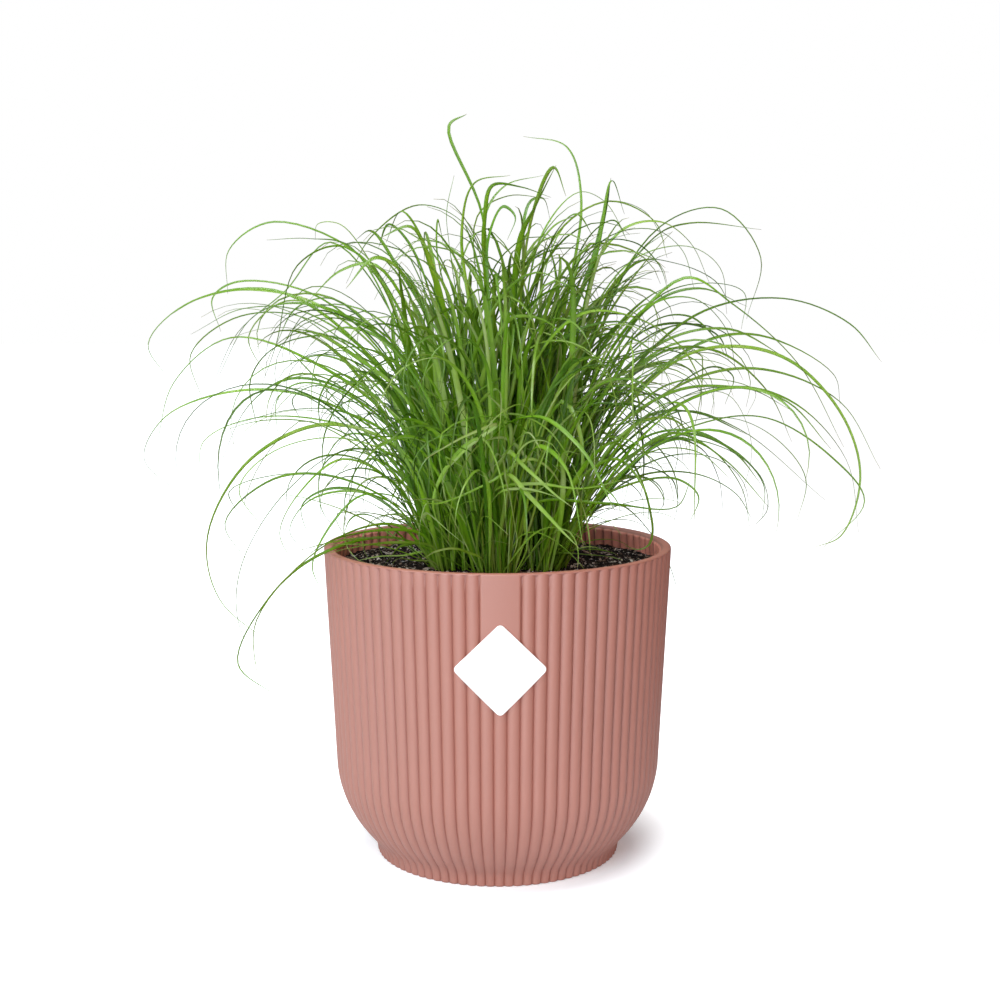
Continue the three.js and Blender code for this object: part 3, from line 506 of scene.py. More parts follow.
def walk(root, tilt, turn, length):
    """The spine from a root on, with each step's tilt from upright and its heading."""
    heading = np.column_stack((np.sin(tilt) * np.cos(turn), np.sin(tilt) * np.sin(turn), np.cos(tilt)))
    start = np.array([[root[0], root[1], ROOT_HEIGHT]])
    return np.concatenate([start, start + np.cumsum(heading * (length / ARCH_STEPS), axis=0)])


def arch_spine(root, azimuth, lean, droop, power, swirl, length):
    """The spine of a leaf that stands at the lean and bends over, ever faster, to the droop.

    Its last TIP_STEPS go on past the solid's end, as the hair-thin tip that the solid leaves out.
    """
    s = (np.arange(ARCH_STEPS + TIP_STEPS) + 0.5) / ARCH_STEPS
    tilt = np.minimum(lean + (droop - lean) * s ** power, MOST_TILT)
    return walk(root, tilt, azimuth + swirl * s * s, length)


def shortened(spine, share):
    """The leaf's looks are shorter than its solid where it arches far out, by up to that share."""
    crest = spine[spine[:, 2].argmax()]
    outer = smoothstep((math.hypot(crest[0], crest[1]) - OUTER_FROM) / (OUTER_FULL - OUTER_FROM))
    return spine[0] + (spine - spine[0]) * (1 - share * outer)


def coarse_spine(spine):
    shares = [(index / LEAF_SEGMENTS) ** SEGMENT_POWER for index in range(LEAF_SEGMENTS + 1)]
    return spine[[math.floor(ARCH_STEPS * share + 0.5) for share in shares]]


def segment_gaps(a0, a1, b0, b1):
    """Shortest distances from one segment to many."""
    d1, d2, between = a1 - a0, b1 - b0, a0 - b0
    a, e = d1 @ d1, np.einsum("ij,ij->i", d2, d2)
    f, c, b = np.einsum("ij,ij->i", d2, between), between @ d1, d2 @ d1
    denominator = a * e - b * b
    s = np.where(denominator > 1e-9, np.clip((b * f - c * e) / np.maximum(denominator, 1e-9), 0, 1), 0.0)
    t = (b * s + f) / e
    s = np.where(t < 0, np.clip(-c / a, 0, 1), np.where(t > 1, np.clip((b - c) / a, 0, 1), s))
    t = np.clip(t, 0, 1)
    return np.linalg.norm(between + s[:, None] * d1 - t[:, None] * d2, axis=1)


class Standing:
    """The segments of the leaves that already stand, and the shoot of each."""

    def __init__(self):
        self.starts, self.ends, self.shoots = np.zeros((0, 3)), np.zeros((0, 3)), np.zeros(0, int)

    def leaves_room(self, spine, shoot):
        if not len(self.shoots):
            return True
        needed = np.where(self.shoots == shoot, CLEAR_OF_OWN, CLEAR_OF_OTHERS)
        return all(
            (segment_gaps(start, end, self.starts, self.ends) >= needed).all()
            for start, end in zip(spine, spine[1:])
        )

    def add(self, spine, shoot):
        self.starts = np.concatenate([self.starts, spine[:-1]])
        self.ends = np.concatenate([self.ends, spine[1:]])
        self.shoots = np.concatenate([self.shoots, np.full(len(spine) - 1, shoot)])


def is_clear_of_base(spine, shoot):
    x, y, z = spine[1:].T
    radius = np.hypot(x, y)
    bad = (radius > RIM_ZONE[0]) & (radius < RIM_ZONE[1]) & (z < POT_HEIGHT + RIM_CLEARANCE)
    for index, (cx, cy) in enumerate(SHOOT_CENTRES):
        away = np.hypot(x - cx, y - cy)
        if index == shoot:
            bad |= (away >= CROWN_RADIUS) & (radius < SOIL_ZONE) & (z < SOIL_TOP + SOIL_CLEARANCE)
        else:
            bad |= (away < CROWN_RADIUS + BESIDE_CROWN) & (z < CROWN_TOP + ABOVE_CROWN)
    return not bad.any()


def is_in_bush(spine, top=BUSH_TOP, reach=BUSH_REACH):
    x, y, z = spine[1:].T
    radius = np.hypot(x, y)
    spread = 1 + y / EYE_DISTANCE
    seen_height = EYE_HEIGHT + (z - EYE_HEIGHT) / spread
    bad = (z > top - BUSH_FALL * radius * radius) | (radius > reach)
    for beyond, lowest in BUSH_FLOORS:
        bad |= (radius > beyond) & (z < lowest)
    half_width, start, height = OPEN_FRONT
    bad |= (y < 0) & (np.abs(x / spread) < half_width) & (radius > start) & (seen_height < height)
    return not bad.any()


def grow_placed(standing, free, draw_looks):
    """The part's own leaves that follow the paths, as (fine spine, width, taper, shoot, tone)."""
    leaves = []
    for depth, width, taper, *path in PLACED_LEAVES:
        wanted_x, wanted_y = wanted_root(path[0][0], ROOT_PULL, depth, PLACED_ROOT_LIMIT)
        nearest = sorted(free, key=lambda root: (root[0] - wanted_x) ** 2 + (root[1] - wanted_y) ** 2)
        for root in nearest[:NEAREST_ROOTS]:
            points = placed_points(depth, path, root)
            coarse, fine = smooth_curve(points, COARSE_CURVE_STEPS), smooth_curve(points, CURVE_STEPS)
            if standing.leaves_room(coarse, root[2]) and is_clear_of_base(fine, root[2]):
                break
        free.remove(root)
        standing.add(coarse, root[2])
        leaves.append((fine, width, taper, root[2], 0.5 + 0.3 * draw_looks()))
    return leaves


def grow_random(standing, free, draw_looks):
    """The part's own leaves on the roots that are left, in the same form. Outer ones lean and bend more."""
    draw = Draws(SEED)
    leaves = []
    for root in free:
        outward = math.atan2(root[1], root[0])
        edge = min(1, math.hypot(root[0], root[1]) / OUTER_ROOT)
        for _ in range(TRIES):
            azimuth = outward + draw.either_way(0.7 + 4.6 * (1 - edge) ** 1.2)
            lean = math.radians(1 + 16 * edge + 26 * draw() ** 2)
            droop = math.radians(draw.between(*DROOPS))
            power = 4 - 2 * edge + 1.4 * draw()
            swirl = draw.either_way(SWIRL)
            length = draw.between(*LENGTHS)
            width = draw.between(*WIDTHS)
            whole = arch_spine(root, azimuth, lean, droop, power, swirl, length)
            spine = whole[:ARCH_STEPS + 1]
            if not is_in_bush(spine) or not is_clear_of_base(spine, root[2]):
                continue
            coarse = coarse_spine(spine)
            if standing.leaves_room(coarse, root[2]):
                standing.add(coarse, root[2])
                reach = np.hypot(whole[:, 0], whole[:, 1])
                kept = (reach < BUSH_REACH) | (np.arange(len(whole)) <= ARCH_STEPS)
                whole = whole[:len(whole) if kept.all() else kept.argmin()]
                whole = shortened(whole, MOST_SHORTENED * draw_looks())
                leaves.append((whole, width, FINE_TAPER, root[2], draw_looks.between(0.1, 0.85)))
                break
    return leaves


def own_width(spine, width):
    """Leaves that hang to the front are drawn a little wider."""
    return FRONT_WIDENING * width if spine[-1][1] < FRONT_TIP else width


def grow_own():
    """The part's own leaves, as (fine spine, width, taper, shoot, tone, how much it faces the front)."""
    standing, free, draw_looks = Standing(), root_places(), Draws(LOOKS_SEED)
    leaves = grow_placed(standing, free, draw_looks) + grow_random(standing, free, draw_looks)
    return [(spine, own_width(spine, width), *rest, OWN_FACING) for spine, width, *rest in leaves]


def extra_spine(root, azimuth, lean, droop, power, swirl, length, kink, kink_place, wave_phase):
    """The arch of a finer leaf, which may wave a little and fold over at one place."""
    s = (np.arange(ARCH_STEPS) + 0.5) / ARCH_STEPS
    tilt = lean + (droop - lean) * s ** power
    tilt += TILT_WAVE[0] * s * np.sin(TURN * (TILT_WAVE[1] * s + wave_phase))
    tilt += kink * smoothstep((s - kink_place) / KINK_LENGTH)
    turn = azimuth + swirl * s * s
    turn += TURN_WAVE[0] * s * np.sin(TURN * (TURN_WAVE[1] * s + 2 * wave_phase))
    return walk(root, tilt, turn, length)


def shows_in_open_place(spine):
    spread = EYE_DISTANCE / (EYE_DISTANCE + spine[:, 1])
    across, height = spine[:, 0] * spread, EYE_HEIGHT + (spine[:, 2] - EYE_HEIGHT) * spread
    return any(np.hypot(across - x, height - z).min() < radius for x, z, radius in OPEN_PLACES)


def follow_fine(depth, width, tone, path, draw):
    """A finer leaf along its path, from the crown nearest to where it would best stand."""
    first_x, first_z = path[0]
    pull = ROOT_PULL if first_z > LOW_START else LOW_ROOT_PULL
    wanted_x, wanted_y = wanted_root(first_x, pull, depth, FINE_ROOT_LIMIT)
    gaps = [math.hypot(cx - wanted_x, cy - wanted_y) for cx, cy in SHOOT_CENTRES]
    shoot = gaps.index(min(gaps))
    cx, cy = SHOOT_CENTRES[shoot]
    share = min(1, FINE_CROWN_RADIUS / gaps[shoot])
    x = cx + (wanted_x - cx) * share + 2 * draw() - 1
    root = (x, cy + (wanted_y - cy) * share + 2 * draw() - 1)
    return smooth_curve(placed_points(depth, path, root), FINE_CURVE_STEPS), width, shoot, tone, 1.0


def grow_kind(kind, shoot, draw):
    """The first leaf of a kind that has room, in a list, or an empty list when no try has."""
    for _ in range(EXTRA_TRIES):
        root = draw.on_disc(EXTRA_CROWN_RADIUS, SHOOT_CENTRES[shoot])
        azimuth = kind.get("towards", math.atan2(root[1], root[0])) + draw.either_way(kind["stray"])
        lean, droop = (math.radians(draw.between(*kind[name])) for name in ("lean", "droop"))
        power, swirl = draw.between(*kind["power"]), draw.either_way(EXTRA_SWIRL)
        length, width, tone = (draw.between(*kind[name]) for name in ("length", "width", "tone"))
        kink = math.radians(draw.between(*KINKS)) if draw() < KINKED_SHARE else 0.0
        fold = (kink, draw.between(*KINK_PLACES), draw())
        spine = extra_spine(root, azimuth, lean, droop, power, swirl, length, *fold)
        if "top" in kind and not is_in_bush(spine, kind["top"], kind["reach"]):
            continue
        if not shows_in_open_place(spine) and is_clear_of_base(spine, shoot):
            return [(spine, width, shoot, tone, RANDOM_FACING)]
    return []


def grow_extras():
    """The finer leaves, in the same form as the part's own."""
    draw = Draws(EXTRA_SEED)
    leaves = [follow_fine(depth, width, tone, path, draw) for depth, width, tone, *path in FINE_LEAVES]
    for kind in EXTRA_KINDS:
        for shoot in range(len(SHOOT_CENTRES)):
            for _ in range(kind["count"]):
                leaves += grow_kind(kind, shoot, draw)
    return [
        (spine, (1 + FACING_WIDTH * facing) * width, FINE_TAPER, shoot, tone, facing)
        for spine, width, shoot, tone, facing in leaves
    ]


# Meshes

def add_object(name, data):
    thing = bpy.data.objects.new(name, data)
    bpy.context.scene.collection.objects.link(thing)
    return thing


def new_piece(name, vertices, faces, material, smooth=True):
    mesh = bpy.data.meshes.new(name)
    mesh.from_pydata((np.asarray(vertices) * MM).tolist(), [], faces)
    mesh.materials.append(material)
    mesh.polygons.foreach_set("use_smooth", [smooth] * len(mesh.polygons))
    mesh.update()
    piece = add_object(name, mesh)
    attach(piece, "root")
    return piece


def add_point_values(mesh, **values):
    for name, numbers in values.items():
        attribute = mesh.attributes.new(name, "FLOAT", "POINT")
        attribute.data.foreach_set("value", np.asarray(numbers, np.float32))


def edge_ends(mesh):
    ends = np.zeros(2 * len(mesh.edges), int)
    mesh.edges.foreach_get("vertices", ends)
    return ends.reshape(-1, 2)


def mark_sharp(mesh, sharp):
    attribute = mesh.attributes.new("sharp_edge", "BOOLEAN", "EDGE")
    attribute.data.foreach_set("value", sharp)


def closed_faces(sides, levels):
    """Quads up a stack of rings, and a fan at either end to the two centres that follow the rings."""
    following = [(side + 1) % sides for side in range(sides)]
    faces = []
    for level in range(levels - 1):
        low, high = level * sides, (level + 1) * sides
        for side, after in enumerate(following):
            faces.append((low + side, low + after, high + after, high + side))
    first_centre, last_centre = levels * sides, levels * sides + 1
    last = (levels - 1) * sides
    for side, after in enumerate(following):
        faces += [(first_centre, after, side), (last_centre, last + side, last + after)]
    return faces


# Pot

def bend(t, start, pull, end):
    return (1 - t) ** 2 * start + 2 * t * (1 - t) * pull + t * t * end


def crest_radius(z):
    """The ribs' radius at a height: a straight taper over a rounded belly, down to a short foot."""
    if z >= WAIST_HEIGHT:
        share = (z - WAIST_HEIGHT) / (POT_HEIGHT - WAIST_HEIGHT)
        return WAIST_RADIUS + (RIM_RADIUS - WAIST_RADIUS) * share
    if z <= FOOT_HEIGHT:
        return FOOT_RADIUS + (FOOT_TOP_RADIUS - FOOT_RADIUS) * z / FOOT_HEIGHT
    low, high = 0.0, 1.0
    for _ in range(30):
        t = (low + high) / 2
        low, high = (t, high) if bend(t, WAIST_HEIGHT, BELLY_PULL[1], FOOT_HEIGHT) > z else (low, t)
    return bend(low, WAIST_RADIUS, BELLY_PULL[0], FOOT_TOP_RADIUS)


def soft_crest_radius(z):
    """The same, with the hollow corner above the foot rounded."""
    shifts = np.linspace(-CORNER_SOFTNESS, CORNER_SOFTNESS, 9)
    return sum(crest_radius(min(POT_HEIGHT, max(0, z + shift))) for shift in shifts) / len(shifts)


def inner_radius(z):
    return crest_radius(z) - WALL - MOUTH_STEP


def rib_place(angles):
    """How far a point lies off its rib's crest, up to 1 in the groove, and how many ribs from the front."""
    ribs = ((angles - FRONT + math.pi) % TURN - math.pi) / RIB_PITCH
    return 2 * np.abs(ribs - np.round(ribs)), np.abs(ribs)


def outer_sink(angles, z):
    """How far the outside lies below the ribs' crests. Each rib is a round arc."""
    off_crest, from_front = rib_place(angles)
    size = crest_radius(z) / RIM_RADIUS
    half_rib = RIB_PITCH * RIM_RADIUS / 2
    arc = (half_rib ** 2 + RIB_DEPTH ** 2) / (2 * RIB_DEPTH)
    sink = size * (arc - np.sqrt(arc ** 2 - (off_crest * half_rib) ** 2))
    to_edge = PANEL_RIBS / 2 - from_front
    panel = PANEL_SINK + (RIB_DEPTH * size - PANEL_SINK) * np.exp(-((to_edge / PANEL_EDGE) ** 2))
    share = smoothstep((z - PANEL_BOTTOM) / PANEL_FADE)
    sink = np.where(to_edge > 0, sink * (1 - share) + panel * share, sink)
    rib_end = RIB_TOP - RIB_ARCH * (1 - np.sqrt(np.clip(1 - off_crest ** 2, 0, 1)))
    rib_end = np.where((to_edge > 0) & (z > PANEL_BOTTOM), RIB_TOP, rib_end)
    to_band = smoothstep((z - rib_end) / BAND_FADE)
    return sink * (1 - to_band) + BAND_SINK * to_band


def outer_groove_shade(angles, z):
    """How deep in a groove a point lies, from 0 on the crests to 1, for the painted shade that darkens the
    grooves.
    """
    off_crest, from_front = rib_place(angles)
    on_panel = (from_front < PANEL_RIBS / 2 - PANEL_GROOVE) & (z > PANEL_BOTTOM)
    return off_crest ** GROOVE_POWER * ~on_panel * smoothstep((RIB_TOP - z) / GROOVE_END)


def inner_bulge(angles, z):
    off_crest, _ = rib_place(angles)
    fade = smoothstep((RIM_TOP - INNER_RIB_START - z) / INNER_RIB_FADE + 0.2 - 0.5 * off_crest ** 2)
    return INNER_RIB_DEPTH * (1 - off_crest ** INNER_RIB_POWER) * fade


# How deep in an inner groove a point lies, for the painted shade that darkens the scallops inside the rim.
def inner_groove_shade(angles, z):
    off_crest, _ = rib_place(angles)
    return off_crest ** INNER_GROOVE_POWER * smoothstep((RIM_TOP - INNER_GROOVE_START - z) / INNER_RIB_FADE)


RIB_LEVELS = [
    0.0, 0.35, 0.9, 2.2, 3.6, 4.8, 5.5, 6.2, 7.2, 8.6, 10.4, 12.4, 14.6, 17, 19.6, 22.4, 25.4, 28.6, 32, 36,
    42, 56, 72, 86, 90, 91, 92, 93, 104, 114, 119, 122.5,
]
RIB_END_LEVELS = [124.3 + 0.1 * step for step in range(11)]
# (radius below the plain rim's, height below the rim's top) over the lip, from outside to inside
LIP_PROFILE = ((0.24, 0.24), (0.32, 0.16), (0.46, 0.08), (0.68, 0.03), (1.0, 0), (1.6, 0),
               (2.5, 0), (2.95, 0.06), (3.4, 0.22), (3.7, 0.5), (3.8, 0.9))
INNER_LEVELS = [124.4, 124.1, 123.8, 123.5, 123.2, 122.8, 122.3, 121.6, 120.8, 120, 118.5, 116, 112.5]
LOWER_WALL_LEVELS = (112, WAIST_HEIGHT, 24, 14)


def build_pot(material):
    angles = FRONT + RIB_PITCH * (np.arange(POT_SIDES) / POINTS_PER_RIB)
    rings, hollows, insides = [], [], []

    def add_ring(radius, z, hollow=0.0, inside=0.0):
        heights = np.full(POT_SIDES, z)
        rings.append(np.column_stack((radius * np.cos(angles), radius * np.sin(angles), heights)))
        hollows.append(np.full(POT_SIDES, hollow))
        insides.append(np.full(POT_SIDES, inside))

    for z in RIB_LEVELS + RIB_END_LEVELS:
        chamfer = FOOT_CHAMFER * max(0.0, 1 - z / FOOT_CHAMFER)
        add_ring(soft_crest_radius(z) - outer_sink(angles, z) - chamfer, z, hollow=outer_groove_shade(angles, z))
    for inward, below in LIP_PROFILE:
        add_ring(RIM_RADIUS - inward, RIM_TOP - below, inside=min(LIP_PAINTED_LIGHT, inward / 4))
    for z in INNER_LEVELS:
        wall = LIP_INNER_RADIUS + MOUTH_WIDENING * smoothstep((RIM_TOP - z) / MOUTH_DEPTH)
        add_ring(wall - inner_bulge(angles, z), z, hollow=inner_groove_shade(angles, z), inside=1.0)
    for z in (*LOWER_WALL_LEVELS, FLOOR_THICKNESS):
        add_ring(inner_radius(z), z, inside=1.0)
    vertices = [*np.concatenate(rings), (0, 0, 0), (0, 0, FLOOR_THICKNESS)]
    faces = closed_faces(POT_SIDES, len(rings))
    pot = new_piece("ribbed_pot", vertices, faces, material)
    hollow, inside = [*np.concatenate(hollows), 0, 0], [*np.concatenate(insides), 0, 1]
    add_point_values(pot.data, hollow=hollow, inside=inside)
    mark_sharp(pot.data, is_groove(edge_ends(pot.data)))
    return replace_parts(pot, "pot")


def is_groove(ends):
    """The bottom of each outer groove is a crease, between the roundings of the two ribs."""
    column = ends % POT_SIDES
    upright = (column[:, 0] == column[:, 1]) & (column[:, 0] % POINTS_PER_RIB == POINTS_PER_RIB // 2)
    return upright & (ends < POT_SIDES * len(RIB_LEVELS)).all(axis=1)


# Label

def label_half_height(across):
    sharp = LABEL_HALF_DIAGONAL + LABEL_CORNER * (math.sqrt(2) - 1)
    arc_centre = sharp - LABEL_CORNER * math.sqrt(2)
    arc_end = LABEL_CORNER / math.sqrt(2)
    u = abs(across)
    if u < arc_end:
        return arc_centre + math.sqrt(LABEL_CORNER ** 2 - u ** 2)
    if u < arc_centre + arc_end:
        return sharp - u
    return math.sqrt(max(0, LABEL_CORNER ** 2 - (u - arc_centre) ** 2))


def build_label(material):
    """A thin film diamond, bent round the crests, with a softly rounded edge."""
    outline = []
    for column in range(LABEL_COLUMNS + 1):
        across = -LABEL_HALF_DIAGONAL * math.cos(column / LABEL_COLUMNS * math.pi)
        outline.append((across, label_half_height(across)))
    edge = [(a, -h) for a, h in outline] + [(a, h) for a, h in outline[-2:0:-1]]
    middle_radius = crest_radius(LABEL_HEIGHT)

    def place(across, up, lift):
        angle = -math.pi / 2 + LABEL_ANGLE + across / middle_radius
        z = LABEL_HEIGHT + up
        return (*on_circle(crest_radius(z) + LABEL_GAP + lift, angle), z)

    inset = LABEL_ROUNDING / LABEL_HALF_DIAGONAL
    layers = [(1.0, 0.0), (1.0, LABEL_THICKNESS - LABEL_ROUNDING)]
    layers += [(1 - 0.3 * inset, LABEL_THICKNESS - 0.3 * LABEL_ROUNDING)]
    layers += [(share, LABEL_THICKNESS) for share in (1 - inset, *LABEL_FACE_SHARES)]
    vertices = [place(a * share, h * share, lift) for share, lift in layers for a, h in edge]
    vertices += [place(0, 0, 0), place(0, 0, LABEL_THICKNESS)]
    faces = closed_faces(len(edge), len(layers))
    label = new_piece("blank_label", vertices, faces, material)
    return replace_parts(label, "label")


# Soil

def soil_height(x, y):
    at = Vector((x, y, 0.0))
    lumps = noise.noise(at * 0.085 + Vector((3, 7, 0)))
    clods = noise.noise(at * 0.24 + Vector((11, 2, 0)))
    grains = noise.noise(at * 0.75) + 0.7 * noise.noise(at * 1.6)
    return SOIL_TOP + SOIL_LUMP * (1.1 * lumps + 0.7 * clods) + SOIL_GRAIN * grains


def build_soil(material):
    top_radius = inner_radius(SOIL_TOP) - SOIL_GAP
    fine_rings = np.arange(SOIL_FINE_FROM, top_radius - SOIL_RING_STEP / 2, SOIL_RING_STEP)
    radii = [*SOIL_INNER_RINGS, *fine_rings, top_radius]
    turns = TURN * np.arange(SOIL_SIDES) / SOIL_SIDES
    rings = []
    for z in (SOIL_BOTTOM, *reversed(LOWER_WALL_LEVELS)):
        radius = inner_radius(z) - SOIL_GAP
        rings.append([(*on_circle(radius, turn), z) for turn in turns])
    for radius in reversed(radii):
        points = [on_circle(radius, turn) for turn in turns]
        rings.append([(x, y, soil_height(x, y)) for x, y in points])
    vertices = [point for ring in rings for point in ring]
    vertices += [(0, 0, SOIL_BOTTOM), (0, 0, soil_height(0, 0))]
    faces = closed_faces(SOIL_SIDES, len(rings))
    soil = new_piece("potting_soil", vertices, faces, material)
    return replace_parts(soil, "soil")


CRUMB_CORNERS = np.array([(0, 0, 1), (1, 0, 0), (0, 1, 0), (-1, 0, 0), (0, -1, 0), (0, 0, -1)], float)
CRUMB_FACES = [(0, 1 + k, 1 + (k + 1) % 4) for k in range(4)]
CRUMB_FACES += [(5, 1 + (k + 1) % 4, 1 + k) for k in range(4)]


def rotation(first, second, angle):
    """A turn from one axis towards another, for points in rows."""
    turned = np.eye(3)
    turned[first, first] = turned[second, second] = math.cos(angle)
    turned[first, second], turned[second, first] = math.sin(angle), -math.sin(angle)
    return turned


def build_crumbs(name, count, seed, sizes, stretches, colours):
    """Loose crumbs and fibres that lie half sunk in the soil, each a rough lump of its own shape."""
    draw = Draws(seed)
    vertices, faces, tones = [], [], []
    while len(faces) < count * len(CRUMB_FACES):
        x, y = draw.on_disc(inner_radius(SOIL_TOP) - CRUMB_MARGIN)
        if any(math.hypot(x - cx, y - cy) < CROWN_RADIUS - 1 for cx, cy in SHOOT_CENTRES):
            continue
        size = draw.between(*sizes, power=3)
        stretch = (draw.between(*stretches, power=2), 1.0, draw.between(0.5, 1.0))
        rough = np.array([[0.6 + 0.8 * draw()] for _ in CRUMB_CORNERS])
        spin, tip = TURN * draw(), draw.either_way(CRUMB_TIP)
        points = CRUMB_CORNERS * rough * stretch * size @ rotation(2, 0, tip) @ rotation(0, 1, spin)
        points += (x, y, soil_height(x, y) + CRUMB_SINK * size)
        start = len(tones)
        vertices += points.tolist()
        faces += [tuple(start + corner for corner in face) for face in CRUMB_FACES]
        tones += [draw()] * len(CRUMB_CORNERS)
    material = crumb_material(name, colours)
    crumbs = new_piece(name, vertices, faces, material, smooth=False)
    add_point_values(crumbs.data, tone=tones)


# Leaf meshes

# The vertices of each cross-section, and their places across the leaf
EDGE_LEFT, GROOVE, EDGE_RIGHT, KEEL = range(4)
ACROSS = (-1.0, 0.0, 1.0, 0.0)


class LeafMesh:
    """The leaves of one shoot. Each is a folded blade: two edges, a groove above and a keel below."""

    def __init__(self):
        self.vertices, self.faces, self.along, self.tone = [], [], [], []

    def add(self, spine, width, taper, tone, facing, draw):
        start, steps = len(self.vertices), len(spine)
        tangent = np.gradient(spine, axis=0)
        tangent /= np.linalg.norm(tangent, axis=1)[:, None]
        reach = spine[-1] - spine[0]
        side = np.array([-reach[1], reach[0], 0.0])
        side /= np.linalg.norm(side)
        s = np.linspace(0, 1, steps)
        widening = ROOT_WIDTH + (1 - ROOT_WIDTH) * smoothstep(s / FULL_WIDTH_FROM)
        half = 0.5 * width * (1 - s ** taper) * widening + THINNEST / 2
        calm = 1 - FACING_CALM * facing
        fold = (0.25 + 0.45 * draw()) * calm
        twist = draw.either_way(MOST_TWIST) * calm
        towards_front = math.copysign(FRONT_ROLL, draw() - 0.5) * facing
        roll = towards_front + draw.either_way(MOST_ROLL) + twist * s ** 1.3
        roll += ROLL_WAVE * np.sin(TURN * (s * 1.5 + draw()))
        for index, point in enumerate(spine):
            side = side - (side @ tangent[index]) * tangent[index]
            side /= np.linalg.norm(side)
            normal = np.cross(tangent[index], side)
            turned = side * math.cos(roll[index]) + normal * math.sin(roll[index])
            up = np.cross(tangent[index], turned)
            rise = up * fold * half[index]
            self.vertices += [
                point - turned * half[index] + rise,
                point,
                point + turned * half[index] + rise,
                point - up * (KEEL_DEPTH + KEEL_SHARE * half[index]),
            ]
        for low in range(start, start + 4 * (steps - 1), 4):
            for a, b in ((EDGE_LEFT, GROOVE), (GROOVE, EDGE_RIGHT), (EDGE_RIGHT, KEEL), (KEEL, EDGE_LEFT)):
                self.faces.append((low + a, low + b, low + 4 + b, low + 4 + a))
        end = start + 4 * (steps - 1)
        self.faces.append((start + KEEL, start + EDGE_RIGHT, start + GROOVE, start + EDGE_LEFT))
        self.faces.append((end + EDGE_LEFT, end + GROOVE, end + EDGE_RIGHT, end + KEEL))
        self.along += np.repeat(s, 4).tolist()
        self.tone += [tone] * (4 * steps)

    def build(self, name, material):
        piece = new_piece(name, self.vertices, self.faces, material)
        across = np.tile(ACROSS, len(self.vertices) // 4)
        add_point_values(piece.data, along=self.along, across=across, tone=self.tone)
        kinds = edge_ends(piece.data) % 4
        mark_sharp(piece.data, (kinds[:, 0] == kinds[:, 1]) & (kinds[:, 0] != KEEL))
        return piece


def build_leaves(material):
    draw = Draws(MESH_SEED)
    meshes = [LeafMesh() for _ in SHOOT_CENTRES]
    for spine, width, taper, shoot, tone, facing in grow_own() + grow_extras():
        meshes[shoot].add(spine, width, taper, tone, facing, draw)
    for shoot, leaf_mesh in enumerate(meshes):
        piece = leaf_mesh.build(f"sedge_leaves_{shoot + 1}", material)
        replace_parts(piece, f"sedge_shoot_{shoot + 1}")


# Materials

class Nodes:
    """A short way to write the nodes of a new material or world."""

    def __init__(self, owner):
        owner.use_nodes = True
        self.owner, self.tree = owner, owner.node_tree
        self.tree.nodes.clear()
        self.places = self.add("TexCoord").outputs

    def fill(self, socket, value):
        if isinstance(value, bpy.types.NodeSocket):
            self.tree.links.new(value, socket)
        else:
            socket.default_value = value

    def add(self, kind, inputs=None, **settings):
        node = self.tree.nodes.new("ShaderNode" + kind)
        for name, value in settings.items():
            setattr(node, name, value)
        for name, value in (inputs or {}).items():
            self.fill(node.inputs[name], value)
        return node

    def math(self, operation, a, b=0.0):
        return self.add("Math", {0: a, 1: b}, operation=operation).outputs[0]

    def attribute(self, name):
        return self.add("Attribute", attribute_name=name).outputs["Fac"]

    def noise(self, scale, detail, roughness):
        inputs = {"Vector": self.places["Object"], "Scale": scale, "Detail": detail, "Roughness": roughness}
        return self.add("TexNoise", inputs).outputs["Fac"]

    def ramp(self, value, *stops):
        node = self.add("ValToRGB", {"Fac": value})
        elements = node.color_ramp.elements
        while len(elements) < len(stops):
            elements.new(0.5)
        for element, (place, colour) in zip(elements, stops):
            element.position = place
            element.color = (*colour, 1)
        return node.outputs["Color"]

    def spread(self, value, low, high, to_low, to_high):
        inputs = {"Value": value, "From Min": low, "From Max": high, "To Min": to_low, "To Max": to_high}
        return self.add("MapRange", inputs).outputs[0]

    def mix(self, share, colour, other):
        node = self.add("Mix", data_type="RGBA")
        self.fill(node.inputs[0], share)
        self.fill(node.inputs[6], colour)
        self.fill(node.inputs[7], (*other, 1))
        return node.outputs[2]

    def bump(self, height, strength, distance):
        return self.add("Bump", {"Height": height, "Strength": strength, "Distance": distance}).outputs[0]

    def surface(self, colour, roughness, specular, **more):
        inputs = {"Base Color": colour, "Roughness": roughness, "Specular IOR Level": specular, **more}
        return self.add("BsdfPrincipled", inputs).outputs[0]

    def mix_shaders(self, share, first, second):
        return self.add("MixShader", {0: share, 1: first, 2: second}).outputs[0]

    def finish(self, shader):
        kind = "World" if isinstance(self.owner, bpy.types.World) else "Material"
        self.add("Output" + kind, {"Surface": shader})
        return self.owner


def new_material(name):
    return Nodes(bpy.data.materials.new(name))


POT_COLOURS = ((0.3, (0.334, 0.126, 0.089)), (0.7, (0.346, 0.131, 0.093)))
POT_FINE_COLOUR = (0.356, 0.135, 0.097)
# Painted light: the inner wall is brighter and redder than the outside, for light that the leaves keep from
# it.
POT_INSIDE_LIT_COLOUR = (0.97, 0.35, 0.26)
# Painted shade in the grooves, outside and inside the rim.
POT_GROOVE_SHADE_COLOUR = (0.20, 0.045, 0.030)


